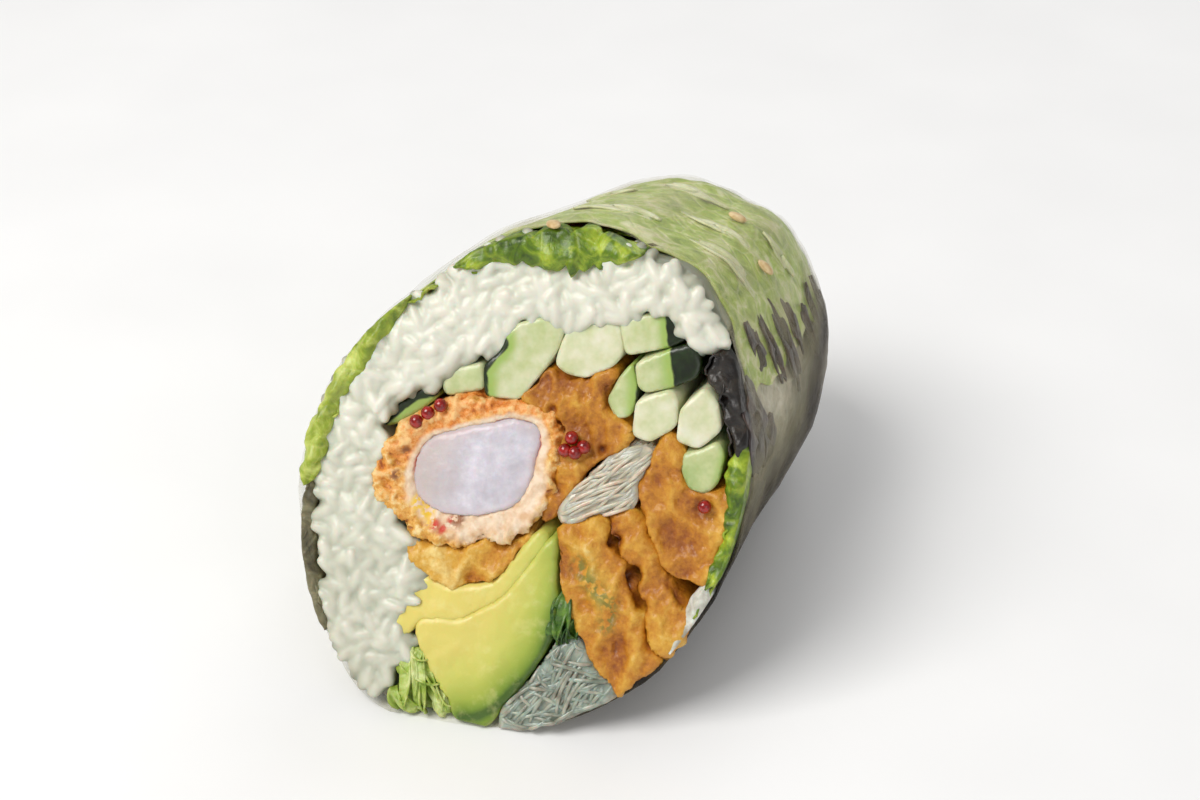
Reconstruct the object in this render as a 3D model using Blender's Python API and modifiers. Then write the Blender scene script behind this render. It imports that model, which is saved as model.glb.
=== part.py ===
"""Half of a large shrimp tempura roll in rice paper, lying on its side.

The roll's axis runs along +Y and its cut face looks towards -Y, leaning back and up.
Lengths below are millimetres, and MM turns them into the scene's metres.
An outline is a list of (x, w) points on the cut face: x to the right of the roll's axis
and w above it. Behind the face every piece narrows with the roll towards its closed end.
"""
import math
import random

import bmesh
import bpy
from mathutils import Vector, noise
from mathutils.geometry import delaunay_2d_cdt

MM = 0.001

# Driving dimensions of the roll
AXIS_HEIGHT = 30.3
CUT_SLOPE_X = 0.245
CUT_SLOPE_W = 0.62
FILM_THICKNESS = 0.7
FILM_SIDES = 40
# The film's pleats at its closed end, and how deep they are
PLEATS = 7
PLEAT_DEPTH = 4.0
LEAF_THICKNESS = 0.5
# Height about which the fillings narrow, just above the film's floor
FILLING_FLOOR = 1.0
# Radius of the film every 15 degrees, from +X towards the top
FILM_RADII = (30.6, 30.5, 30.2, 31.1, 32.3, 31.4, 32.1, 31.8, 31.3, 30.8, 31.5, 32.0,
              31.8, 30.9, 31.1, 31.8, 32.3, 31.9, 30.6, 31.3, 31.3, 31.6, 31.2, 31.0)
# Size of the roll along its axis, as (y, share of the size at the front): to the left of
# the axis, to its right, and upwards from the surface that the roll lies on
TAPER_LEFT = ((-25, 1.0), (22, 0.95), (35, 0.905), (48, 0.85), (58, 0.78), (66, 0.68),
              (71, 0.58), (74, 0.48), (76.5, 0.335), (78, 0.0))
TAPER_RIGHT = ((-25, 1.0), (2, 0.975), (22, 0.9), (35, 0.875), (48, 0.83), (58, 0.75),
               (66, 0.66), (71, 0.565), (74, 0.465), (76.5, 0.325), (78, 0.0))
TAPER_UP = ((-25, 1.0), (22, 0.905), (35, 0.845), (48, 0.79), (58, 0.755), (66, 0.685),
            (71, 0.585), (74, 0.48), (76.5, 0.335), (78, 0.0))
# Where the fillings have a ring of corners, and their size against the film's there
FILLING_STATIONS = ((22, 1.0), (48, 0.985), (66, 0.95))

# Outlines of the fillings on the cut face
SHRIMP = ((-15.3, 0.5), (-14.2, 3.8), (-11, 5.3), (-7, 6.6), (-3, 7.6), (0.3, 6.6),
          (0.6, 3.5), (0.6, 0), (-0.9, -2.4), (-5, -3.9), (-10, -4.2), (-13.8, -2.9))
BATTER = ((-20.4, 0), (-19.9, 2.4), (-19.2, 4.4), (-17.2, 6.1), (-15.2, 7.2), (-13, 8.6),
          (-9.8, 9.8), (-7.5, 9.5), (-3.3, 9.4), (-0.2, 9), (2, 7.9), (3.2, 6.4),
          (3.4, 4.6), (3.8, 2.4), (3.9, 0), (3.5, -1.6), (2.7, -3.4), (1.6, -5.2),
          (-0.6, -6.7), (-3, -6.3), (-5.4, -7.5), (-8, -8.1), (-10.9, -7.9),
          (-13.4, -7.1), (-16, -5.3), (-19.2, -3.4))
TOFU_UNDER = ((-14.8, -8), (-12.8, -10.2), (-10, -12), (-7.2, -12.9), (-4.4, -13),
              (-1.4, -11.8), (0.4, -9.8), (1.8, -7.4), (2.2, -6.1), (-0.5, -7.9),
              (-3, -7.5), (-5.4, -8.7), (-8, -9.3), (-10.9, -9.1))
TOFU_TOP = ((-2.6, 10.4), (-1.7, 12), (-0.6, 13.8), (1.4, 13.3), (4.6, 13.2), (8.2, 14.6),
            (7.7, 12.4), (8.1, 10.8), (9.6, 9.1), (11.9, 8.5), (12.2, 7.6), (11.7, 6.2),
            (9.3, 4.4), (7.2, 2), (5.9, -0.4), (5.2, -2.4), (4.3, -3.9), (3.8, -3.3),
            (4.3, -1.6), (4.6, 0), (4.5, 2.5), (4.1, 5), (3.7, 7.3), (2.2, 8.9))
TOFU_RIGHT = ((18, 8), (19.6, 6.5), (20.4, 4.2), (22.2, 2.2), (24, 1.8), (26.4, 2.3),
              (27.4, 1), (27.9, -1.2), (27.8, -4.8), (27, -7.2), (25.4, -8.2),
              (23.6, -8), (22, -7.2), (20.8, -5.6), (19.2, -3.4), (17.6, -1.6),
              (16.4, 0.6), (16.1, 2.6), (16.9, 4.2), (17.1, 6.4))
TOFU_LOW = ((7.2, -4.7), (9.8, -3.5), (11.6, -2.9), (12.6, -4.4), (14.8, -6.8),
            (17, -8.7), (18.2, -10.5), (19, -12.4), (20.6, -14.6), (21.8, -16.6),
            (22.7, -18.2), (22.5, -20), (21.4, -21.5), (19.6, -22.1), (17.8, -21.2),
            (16.2, -19.8), (14.4, -18.3), (12.8, -16.2), (11, -13.8), (9.4, -11.6),
            (8, -9.2), (7.3, -6.8))
TOFU_LOW_RIGHT = ((13.2, -2.8), (14.6, -2), (16.3, -2.4), (18.1, -4.1), (19.6, -6),
                  (21, -8), (22.9, -9.7), (24.4, -11.2), (25.3, -12.8), (25.6, -14.6),
                  (25, -16.2), (24, -16.9), (22.9, -15.8), (21.5, -13.6),
                  (20, -11.4), (19.3, -9.6), (17.9, -7.7), (15.7, -6.1), (14, -4.6))
NOODLES_MIDDLE = ((6.7, -0.8), (8.1, 1), (10.1, 3.4), (11.6, 4.8), (13.2, 5.9),
                  (14.9, 6.2), (16.1, 5.6), (15.6, 4), (15, 2.2), (15.4, 0.4),
                  (15.2, -0.8), (13.4, -1.1), (11.6, -1.9), (9.8, -2.5), (7, -3.6), (6, -2.6))
NOODLES_BOTTOM = ((4.9, -28.1), (6.4, -25.9), (7.8, -23.8), (9.3, -21), (10, -19.2),
                  (11.2, -18.2), (12.6, -18.1), (14, -19.3), (15.6, -20.8),
                  (17.3, -22), (18.8, -22.9), (18, -24), (15.6, -25.6),
                  (12.2, -26.8), (8.8, -27.8))
AVOCADO_BACK = ((-12.6, -19.4), (-11.8, -16.4), (-10.5, -13.5), (-7.4, -13.9),
                (-4.2, -14), (-0.8, -12.7), (1.4, -10.3), (2.9, -7.4), (4, -5.8),
                (4.6, -6.6), (3.3, -9), (1.9, -11.8), (0.2, -13.9), (-2.6, -15.8),
                (-4.6, -16.9), (-9.6, -17.6), (-10.9, -19.4))
AVOCADO_FRONT = ((-9.3, -18.3), (-4.3, -17.6), (-2.2, -16.4), (0.7, -14.4), (2.5, -12),
                 (4, -9.2), (5.2, -6.8), (6.1, -5.9), (6.5, -7), (6.8, -9.2),
                 (7.5, -11.8), (8.4, -14), (8.9, -16.2), (8.7, -18.8), (7.8, -21.4),
                 (6.2, -24.4), (4.5, -26.8), (2.6, -28), (0.4, -28.3), (-2, -27.3),
                 (-4, -25.9), (-6.8, -23.2), (-8.7, -20.9))
SPRING_ONION = ((-10.4, -23.8), (-9.3, -22.4), (-7.4, -24), (-4.8, -26.3), (-2.8, -27.7),
                (-3.6, -28.3), (-6.4, -28.3), (-8.9, -27.9), (-10.3, -26.2))
HERB = ((9.2, -12.9), (10.7, -14.6), (12, -16.4), (11.7, -17.3), (10.4, -17.7), (9.9, -15.4))
# The bed of rice is a C: its outside under the leaves, its outside below, and its inside
RICE_UNDER_LEAVES = ((20.9, 20.9), (18.6, 23.8), (15.7, 26.2), (12.1, 27.6), (8.5, 28),
                     (5.8, 27.2), (1.6, 26), (-5.4, 26.2), (-10.8, 25.5), (-14.6, 23.6),
                     (-18, 22), (-20.8, 19.2), (-22.6, 17), (-24.6, 14), (-26.2, 9.8),
                     (-27.2, 5), (-27.4, 0), (-27.3, -5), (-26.8, -9.6))
RICE_BELOW = ((-25.7, -14.4), (-23.8, -17.6), (-21.6, -20.6), (-19.4, -22.8), (-16.4, -25.2),
              (-13.2, -27))
RICE_INSIDE = ((-11, -27.2), (-11.3, -23.6), (-10.3, -21.4), (-13.6, -20), (-12.9, -17.6),
               (-12.5, -15.4), (-11.5, -12.6), (-13.6, -10.8), (-15.6, -7.7),
               (-17, -6), (-19.8, -4.4), (-21.2, -2.2), (-21.4, 0.2), (-20.9, 2.6),
               (-22.4, 4.2), (-21.4, 7.4), (-18, 10.4), (-15.6, 11), (-15.2, 12.4),
               (-11, 14.8), (-9.4, 15.4), (-8, 16.4), (-7.6, 18.4), (-6.4, 20),
               (-2.8, 21), (0.4, 20.1), (6.8, 21.8), (11.8, 23.3), (14.2, 23.8),
               (16.2, 22.9), (17.9, 20.3), (19.2, 19))
# Cucumber sticks: outline, and how far the cut end stands out of the face
CUCUMBERS = (
    (((-21.6, 4.4), (-20.4, 6.9), (-17.2, 9.6), (-15.2, 9.9), (-15.4, 8.8), (-17.6, 7),
      (-19.8, 5.2)), -1.5),
    (((-14.4, 10.5), (-13.5, 12.4), (-10, 13.5), (-9, 10.9), (-11.4, 10.4),
      (-13.4, 9.7)), -0.6),
    (((-8.9, 13.9), (-7, 15.8), (-6.8, 17.8), (-5.8, 19.1), (-2.8, 20.1), (0, 19.1),
      (-0.3, 16.8), (-1.1, 14.8), (-2.2, 13), (-3.5, 10.6), (-7.8, 10.6)), 0.2),
    (((1.1, 19.2), (7.2, 21.1), (8.7, 17.3), (8, 16), (4.7, 14.1), (2.1, 14.4),
      (0.5, 15.1), (0.7, 17.2)), 0.0),
    (((8, 21.2), (12.1, 22.4), (14.4, 23), (15.8, 22.2), (17, 20.4), (15.3, 19.3),
      (9.6, 17.6)), 0.4),
    (((11.5, 16.5), (15.4, 18.4), (17.9, 19.4), (19.6, 17.4), (19.4, 15.9),
      (17.4, 14.9), (13.5, 13.6), (12.5, 14.1)), 0.6),
    (((8.7, 11.6), (9.6, 14.2), (10.5, 16), (11.9, 13.2), (11.9, 10.2), (10.4, 9.7)), -0.3),
    (((12.8, 12), (16.6, 13.7), (17.6, 12.8), (18.3, 9.8), (15.6, 7.9), (13.4, 8.3)), 0.8),
    (((19, 12), (21.1, 14.5), (23, 13), (24.3, 10.1), (22.2, 7.9), (19.4, 8.5)), 1.0),
    (((20.5, 6.3), (22.6, 6.9), (24.5, 8.2), (25.6, 7), (25.7, 3.8), (24.6, 2.7),
      (22.6, 2.9), (21.3, 4.4)), 0.5),
)
# Middle lines of the leaves on the cut face, just inside the film
LETTUCE_TOP = ((21, 20), (19.4, 22), (17.4, 24), (13.2, 26.8), (7.4, 28.2),
               (1.6, 29.8), (-4, 30.1), (-9.4, 28.8), (-13.8, 26), (-15.6, 24.8),
               (-14.4, 24.4), (-10.2, 27.2), (-5, 28.6), (0.6, 28.4), (4.8, 27.9))
LETTUCE_LEFT = ((-17.6, 22.9), (-20.6, 20.1), (-23.4, 17.4), (-26, 13.8), (-28, 9.4),
                (-29.3, 4.6), (-29.6, 1.4), (-28.7, 1.2), (-28.4, 4.6), (-27.4, 8.6))
PURPLE_LEFT = ((-29.4, -0.2), (-28.7, -4.4), (-27.7, -8.8), (-26.3, -12.2))
LETTUCE_RIGHT = ((28.2, 5.2), (28.8, 2.8), (29, -1), (28.8, -5), (28, -8.8), (26.8, -12.2))
PURPLE_RIGHT = ((22.2, 17), (21.3, 17.1), (21.2, 18), (22, 18.5), (22.9, 17.8), (23.1, 16),
                (24, 13.2), (25.3, 10.8), (26.4, 8.4), (27.4, 6.8), (28.1, 7.4),
                (26.8, 10.9), (25, 13.8))
# Small beads and seeds: places on the cut face, and how far out of it they sit
BEAD_RADIUS = 1.0
BATTER_BEADS = ((-16.8, 5.6, 0.5), (-15.3, 6.6, 0.5), (-13.8, 7.7, 0.6))
TOP_TOFU_BEADS = ((5.4, 6.8, 0.5), (5.1, 4.9, 0.5), (7.1, 5.6, 0.5))
RIGHT_TOFU_BEADS = ((25, 0.4, 1.0),)
SEED_SIZE = (3.0, 2.0, 1.0)
# Sesame seeds on the film: angle round the roll in degrees, and y
SEEDS = ((98, 18), (142, 65), (68, 49), (51, 41))
# How far the bed of rice keeps in from its face outline, behind the leaves
LEAF_ROOM = 1.5
# How far the bed of rice lies behind the cut face, below its grains
RICE_DEPTH = 1.3
# Rice grains, and the range of how far out of the face their middles lie
GRAIN_LENGTH = 5.6
GRAIN_WIDTH = 2.5
GRAIN_COUNT = 130
GRAIN_SPACING = 2.25
GRAIN_OUT = (-1.5, -0.5)
GRAIN_TILT = 0.5
GRAIN_TRIES = 40000
# Room between a grain or strand and the edge of its outline
SMALL_GAP = 0.12
# Noodles
NOODLE_RADIUS = 0.68
RANDOM_SEED = 8

COLOURS = {
    "film": (0.62, 0.63, 0.54),
    "lettuce": (0.26, 0.44, 0.05),
    "purple_leaf": (0.05, 0.03, 0.04),
    "rice": (0.80, 0.81, 0.76),
    "cucumber": (0.60, 0.72, 0.40),
    "shrimp": (0.70, 0.69, 0.80),
    "batter": (0.75, 0.35, 0.10),
    "tofu": (0.62, 0.26, 0.05),
    "avocado": (0.68, 0.66, 0.16),
    "noodles": (0.60, 0.59, 0.53),
    "herb": (0.16, 0.30, 0.05),
}


def taper(table, y):
    """Share of its front size that the roll has at y, by one of the three tables."""
    for (y0, s0), (y1, s1) in zip(table, table[1:]):
        if y <= y1:
            return s0 + (s1 - s0) * (y - y0) / (y1 - y0)
    return table[-1][1]


def cut_depth(x, w):
    """y of the cut face at a point of an outline."""
    return CUT_SLOPE_X * x + CUT_SLOPE_W * w


def place(x, w, y, share=1.0, floor=FILLING_FLOOR):
    """A point of a filling's outline, carried along the roll to y, in metres."""
    sideways = TAPER_LEFT if x < 0 else TAPER_RIGHT
    front = cut_depth(x, w)
    across = share * taper(sideways, y) / taper(sideways, front)
    upwards = share * taper(TAPER_UP, y) / taper(TAPER_UP, front)
    return Vector((x * across, y, floor + (w + AXIS_HEIGHT - floor) * upwards)) * MM


def place_film(x, w, y):
    """A point of the film's outline, carried along the roll to y, in metres."""
    return place(x, w, y, floor=0)


def catmull(a, b, c, d, t):
    """Smooth curve from b to c."""
    return 0.5 * (2 * b + (c - a) * t + (2 * a - 5 * b + 4 * c - d) * t * t
                  + (3 * b - a - 3 * c + d) * t ** 3)


def smooth_outline(points, steps):
    """A closed outline with rounded corners."""
    points = [Vector(p) for p in points]
    count = len(points)
    return [catmull(*(points[(i + k) % count] for k in (-1, 0, 1, 2)), s / steps)
            for i in range(count) for s in range(steps)]


def smooth_path(points, steps):
    """An open path with rounded corners."""
    points = [Vector(p) for p in points]
    ends = [points[0] * 2 - points[1]] + points + [points[-1] * 2 - points[-2]]
    path = [catmull(*ends[i:i + 4], s / steps)
            for i in range(len(points) - 1) for s in range(steps)]
    return path + [points[-1]]


def film_radius(angle):
    """Outer radius of the film at an angle in radians."""
    count = len(FILM_RADII)
    position = angle / math.tau * count
    i = math.floor(position)
    return catmull(*(FILM_RADII[(i + k) % count] for k in (-1, 0, 1, 2)), position - i)


def ramp(value, start, end):
    """Rises from 0 to 1 as value goes from start to end."""
    return max(0, min(1, (value - start) / (end - start)))


def grown(outline, by):
    """An outline with its corners moved outwards along the bisector of their sides."""
    sign = 1 if signed_area(outline) > 0 else -1
    result = []
    for before, corner, after in zip(outline[-1:] + outline[:-1], outline,
                                     outline[1:] + outline[:1]):
        run = (corner - before).normalized() + (after - corner).normalized()
        result.append(corner + Vector((run.y, -run.x)).normalized() * by * sign)
    return result


def signed_area(outline):
    return 0.5 * sum(a.x * b.y - b.x * a.y for a, b in zip(outline, outline[1:] + outline[:1]))


def inside(point, outline):
    """Whether a point lies in a closed outline."""
    result = False
    for a, b in zip(outline, outline[1:] + outline[:1]):
        if (a.y > point.y) != (b.y > point.y):
            if point.x < a.x + (b.x - a.x) * (point.y - a.y) / (b.y - a.y):
                result = not result
    return result


def edge_distance(point, outline):
    """Distance from a point to the nearest side of an outline."""
    nearest = math.inf
    for a, b in zip(outline, outline[1:] + outline[:1]):
        side = b - a
        share = max(0, min(1, (point - a).dot(side) / side.length_squared))
        nearest = min(nearest, (point - a - side * share).length)
    return nearest


def make_material(kind):
    material = bpy.data.materials.new(kind)
    material.use_nodes = True
    shader = material.node_tree.nodes["Principled BSDF"]
    shader.inputs["Base Color"].default_value = (*COLOURS[kind], 1)
    shader.inputs["Roughness"].default_value = 0.45
    material.diffuse_color = (*COLOURS[kind], 1)
    return material


def make_object(name, mesh, kind):
    """Add a finished mesh to the roll's collection, in its own material."""
    obj = bpy.data.objects.new(name, mesh)
    mesh.materials.append(make_material(kind))
    bpy.data.collections["shrimp_tempura_roll"].objects.link(obj)
    return obj


def cap_triangles(outline, hole, inner_points):
    """Triangles over an outline, as indices into outline, hole and inner points together."""
    points = outline + hole + inner_points
    count = len(outline)
    sides = [(i, (i + 1) % count) for i in range(count)]
    sides += [(count + i, count + (i + 1) % len(hole)) for i in range(len(hole))]
    found, _, triangles, origins, _, _ = delaunay_2d_cdt(points, sides, [], 0, 0.001)
    result = []
    for triangle in triangles:
        middle = sum((found[i] for i in triangle), Vector((0, 0))) / 3
        if inside(middle, outline) and not (hole and inside(middle, hole)):
            result.append([origins[i][0] for i in triangle])
    return result


def face_points(outline, hole, step):
    """Points in a triangular grid inside an outline, clear of its sides."""
    xs = [p.x for p in outline]
    ws = [p.y for p in outline]
    rows = int((max(ws) - min(ws)) / (step * 0.87)) + 1
    columns = int((max(xs) - min(xs)) / step) + 1
    points = []
    for row in range(rows):
        for column in range(columns + 1):
            point = Vector((min(xs) + (column + 0.5 * (row % 2)) * step,
                            min(ws) + (row + 0.5) * step * 0.87))
            clear = inside(point, outline) and edge_distance(point, outline) > 0.5 * step
            if hole and clear:
                clear = not inside(point, hole) and edge_distance(point, hole) > 0.5 * step
            if clear:
                points.append(point)
    return points


def filling_mesh(outline, out=0.0, edge=0.4, step=0, crag=0.0, hole=()):
    """A piece that runs from the cut face to near the roll's closed end.

    out is how far it stands out of the face, edge how far its rim is rounded back, crag the
    height of its relief, and step the spacing of the points that carry the relief.
    """
    outline = list(outline)
    hole = list(hole)
    if signed_area(outline) < 0:
        outline.reverse()
    inner_points = face_points(outline, hole, step) if step else []
    rim = outline + hole

    def front(point, at_rim):
        relief = crag * noise.noise(Vector((point.x * 0.45, point.y * 0.45, out * 7 + 3.1)))
        return cut_depth(point.x, point.y) - out - relief + (edge if at_rim else 0)

    mesh = bmesh.new()
    rings = [[mesh.verts.new(place(p.x, p.y, front(p, True))) for p in rim]]
    for y, share in FILLING_STATIONS:
        rings.append([mesh.verts.new(place(p.x, p.y, y, share)) for p in rim])
    front_verts = rings[0] + [mesh.verts.new(place(p.x, p.y, front(p, False)))
                              for p in inner_points]
    for triangle in cap_triangles(outline, hole, inner_points):
        mesh.faces.new([front_verts[i] for i in triangle])
    for triangle in cap_triangles(outline, hole, []):
        mesh.faces.new([rings[-1][i] for i in reversed(triangle)])
    loops = [range(len(outline)), range(len(outline), len(rim))]
    for near, far in zip(rings, rings[1:]):
        for loop in loops:
            for i, j in zip(loop, list(loop[1:]) + list(loop[:1])):
                mesh.faces.new((near[j], near[i], far[i], far[j]))
    bmesh.ops.recalc_face_normals(mesh, faces=mesh.faces)
    data = bpy.data.meshes.new("filling")
    mesh.to_mesh(data)
    mesh.free()
    return data


def fuse(base, pieces):
    """Join small pieces to a mesh with one Boolean union and keep its one outer body."""
    core = bpy.data.objects.new("core", base)
    bpy.context.scene.collection.objects.link(core)
    group = bpy.data.collections.new("fused_pieces")
    bpy.context.scene.collection.children.link(group)
    for i, piece in enumerate(pieces):
        group.objects.link(bpy.data.objects.new(f"piece_{i}", piece))
    union = core.modifiers.new("union", "BOOLEAN")
    union.operation = "UNION"
    union.operand_type = "COLLECTION"
    union.collection = group
    union.solver = "EXACT"
    bpy.context.view_layer.update()
    evaluated = core.evaluated_get(bpy.context.evaluated_depsgraph_get())
    joined = bpy.data.meshes.new_from_object(evaluated)
    for obj in list(group.objects):
        bpy.data.objects.remove(obj)
    bpy.data.collections.remove(group)
    bpy.data.objects.remove(core)
    keep_largest_body(joined)
    return joined


def keep_largest_body(data):
    """Drop sealed hollows and loose scraps, so that one closed body is left."""
    mesh = bmesh.new()
    mesh.from_mesh(data)
    bmesh.ops.triangulate(mesh, faces=mesh.faces)
    unseen = set(mesh.faces)
    bodies = []
    while unseen:
        body = []
        stack = [unseen.pop()]
        while stack:
            face = stack.pop()
            body.append(face)
            for edge in face.edges:
                for other in edge.link_faces:
                    if other in unseen:
                        unseen.remove(other)
                        stack.append(other)
        bodies.append(body)
    bodies.sort(key=lambda body: sum(face.calc_center_median().dot(face.normal)
                                     * face.calc_area() for face in body))
    for body in bodies[:-1]:
        bmesh.ops.delete(mesh, geom=body, context="FACES")
    mesh.to_mesh(data)
    mesh.free()


def ball_mesh(centre, radii, turn=None, sides=6, rings=4):
    """A small ball or grain; radii are its half sizes along its own axes."""
    mesh = bmesh.new()
    bmesh.ops.create_uvsphere(mesh, u_segments=sides, v_segments=rings, radius=1)
    for vert in mesh.verts:
        point = Vector([c * r for c, r in zip(vert.co, radii)]) * MM
        if turn:
            point = turn @ point
        vert.co = point + centre
    data = bpy.data.meshes.new("ball")
    mesh.to_mesh(data)
    mesh.free()
    return data


def beads(places):
    return [ball_mesh(place(x, w, cut_depth(x, w) - out), (BEAD_RADIUS,) * 3, sides=8, rings=5)
            for x, w, out in places]


def face_frame():
    """Directions along the cut face, and the one that points out of it."""
    across = Vector((1, CUT_SLOPE_X, 0)).normalized()
    outward = Vector((CUT_SLOPE_X, -1, CUT_SLOPE_W)).normalized()
    return across, outward.cross(across), outward


def make_rice():
    """A bed of rice in the shape of a C, with the grains of its cut face."""
    face = [Vector(p) for p in RICE_UNDER_LEAVES + RICE_BELOW + RICE_INSIDE]
    core = [Vector(p) * (1 - LEAF_ROOM / Vector(p).length) for p in RICE_UNDER_LEAVES]
    core += [Vector(p) for p in RICE_BELOW + RICE_INSIDE]
    base = filling_mesh(core, out=-RICE_DEPTH, edge=0.5, step=4.5, crag=0.8)
    xs = [p.x for p in face]
    ws = [p.y for p in face]
    draw = random.Random(RANDOM_SEED)
    across, up, outward = face_frame()
    half = GRAIN_LENGTH / 2
    thick = GRAIN_WIDTH / 2
    grains = []
    centres = []
    for _ in range(GRAIN_TRIES):
        if len(grains) == GRAIN_COUNT:
            break
        centre = Vector((draw.uniform(min(xs), max(xs)), draw.uniform(min(ws), max(ws))))
        angle = draw.uniform(0, math.pi)
        tilt = draw.uniform(-GRAIN_TILT, GRAIN_TILT)
        out = draw.uniform(*GRAIN_OUT)
        if not inside(centre, face):
            continue
        if any((centre - other).length < GRAIN_SPACING for other in centres):
            continue
        along = Vector((math.cos(angle), math.sin(angle))) * (half - thick) * math.cos(tilt)
        if any(not inside(p, face) or edge_distance(p, face) < thick + SMALL_GAP
               for p in (centre - along, centre, centre + along)):
            continue
        centres.append(centre)
        length = (across * math.cos(angle) + up * math.sin(angle)) * math.cos(tilt)
        length += outward * math.sin(tilt)
        turn = length.to_track_quat("Z", "Y").to_matrix()
        middle = place(centre.x, centre.y, cut_depth(centre.x, centre.y) - out)
        grains.append(ball_mesh(middle, (thick, thick, half), turn, sides=6, rings=4))
    make_object("rice", fuse(base, grains), "rice")


def strand(points, radius):
    """A noodle or shred along face points (x, w, out), as a closed tube."""
    curve = bpy.data.curves.new("strand", "CURVE")
    curve.dimensions = "3D"
    curve.bevel_depth = radius * MM
    curve.bevel_resolution = 1
    curve.use_fill_caps = True
    spline = curve.splines.new("POLY")
    spline.points.add(len(points) - 1)
    for target, (x, w, out) in zip(spline.points, points):
        target.co = (*place(x, w, cut_depth(x, w) - out), 1)
    obj = bpy.data.objects.new("strand", curve)
    bpy.context.scene.collection.objects.link(obj)
    bpy.context.view_layer.update()
    evaluated = obj.evaluated_get(bpy.context.evaluated_depsgraph_get())
    data = bpy.data.meshes.new_from_object(evaluated)
    bpy.data.objects.remove(obj)
    mesh = bmesh.new()
    mesh.from_mesh(data)
    bmesh.ops.remove_doubles(mesh, verts=mesh.verts, dist=1e-5)
    mesh.to_mesh(data)
    mesh.free()
    return data


def strands_within(outline, direction, spacing, radius, bend, draw):
    """Side by side strands along a direction, cut to an outline and clear of its sides."""
    along = Vector((math.cos(direction), math.sin(direction)))
    side = Vector((-along.y, along.x))
    middle = sum(outline, Vector((0, 0))) / len(outline)
    reach = max((p - middle).length for p in outline)
    meshes = []
    for i in range(-int(reach / spacing), int(reach / spacing) + 1):
        wave = draw.uniform(0, math.tau)
        level = draw.uniform(-0.75, -0.15)
        run = []
        best = []
        for k in range(-14, 15):
            t = reach * k / 14
            offset = i * spacing + bend * math.sin(t * 0.5 + wave)
            point = middle + along * t + side * offset
            if inside(point, outline) and edge_distance(point, outline) > radius + 0.15:
                run.append((point.x, point.y, level + 0.25 * math.sin(t + wave)))
            else:
                run = []
            if len(run) > len(best):
                best = list(run)
        if len(best) > 2:
            meshes.append(strand(best[::2] if len(best) > 6 else best, radius))
    return meshes


def make_noodles(name, outline, direction, spacing):
    """A bundle of noodles: a core with the strands of its cut face."""
    outline = [Vector(p) for p in outline]
    draw = random.Random(RANDOM_SEED)
    base = filling_mesh(outline, out=-0.9, edge=0.3, step=3.5, crag=0.4)
    strands = strands_within(outline, direction, spacing, NOODLE_RADIUS, 0.35, draw)
    make_object(name, fuse(base, strands), "noodles")


def leaf_mesh(path, steps, front, wave, waves):
    """A thin wavy leaf along a path, from the cut face to near the closed end.

    front gives how far its edge stands out of the face at each share of the path.
    """
    path = smooth_path(path, steps)
    mesh = bmesh.new()
    count = len(path)
    rows = []
    for station in range(2 + len(FILLING_STATIONS)):
        row = []
        for i, p in enumerate(path):
            share = i / (count - 1)
            before = path[max(0, i - 1)]
            after = path[min(count - 1, i + 1)]
            run = (after - before).normalized()
            sway = wave * math.sin(share * waves * math.tau + station * 0.9)
            x = p.x + run.y * sway
            w = p.y - run.x * sway
            y = cut_depth(p.x, p.y) - front(share) + 4 * station
            size = 1.0
            if station > 1:
                station_y, size = FILLING_STATIONS[station - 2]
                y = max(station_y, y)
            row.append(mesh.verts.new(place(x, w, y, size)))
        rows.append(row)
    for near, far in zip(rows, rows[1:]):
        for i in range(count - 1):
            mesh.faces.new((near[i], near[i + 1], far[i + 1], far[i]))
    bmesh.ops.triangulate(mesh, faces=mesh.faces)
    data = bpy.data.meshes.new("leaf")
    mesh.to_mesh(data)
    mesh.free()
    return data


def make_leaf(name, kind, path, steps, front, wave, waves):
    obj = make_object(name, leaf_mesh(path, steps, front, wave, waves=waves), kind)
    solidify = obj.modifiers.new("thickness", "SOLIDIFY")
    solidify.thickness = LEAF_THICKNESS * MM
    solidify.offset = 0
    return obj


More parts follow.
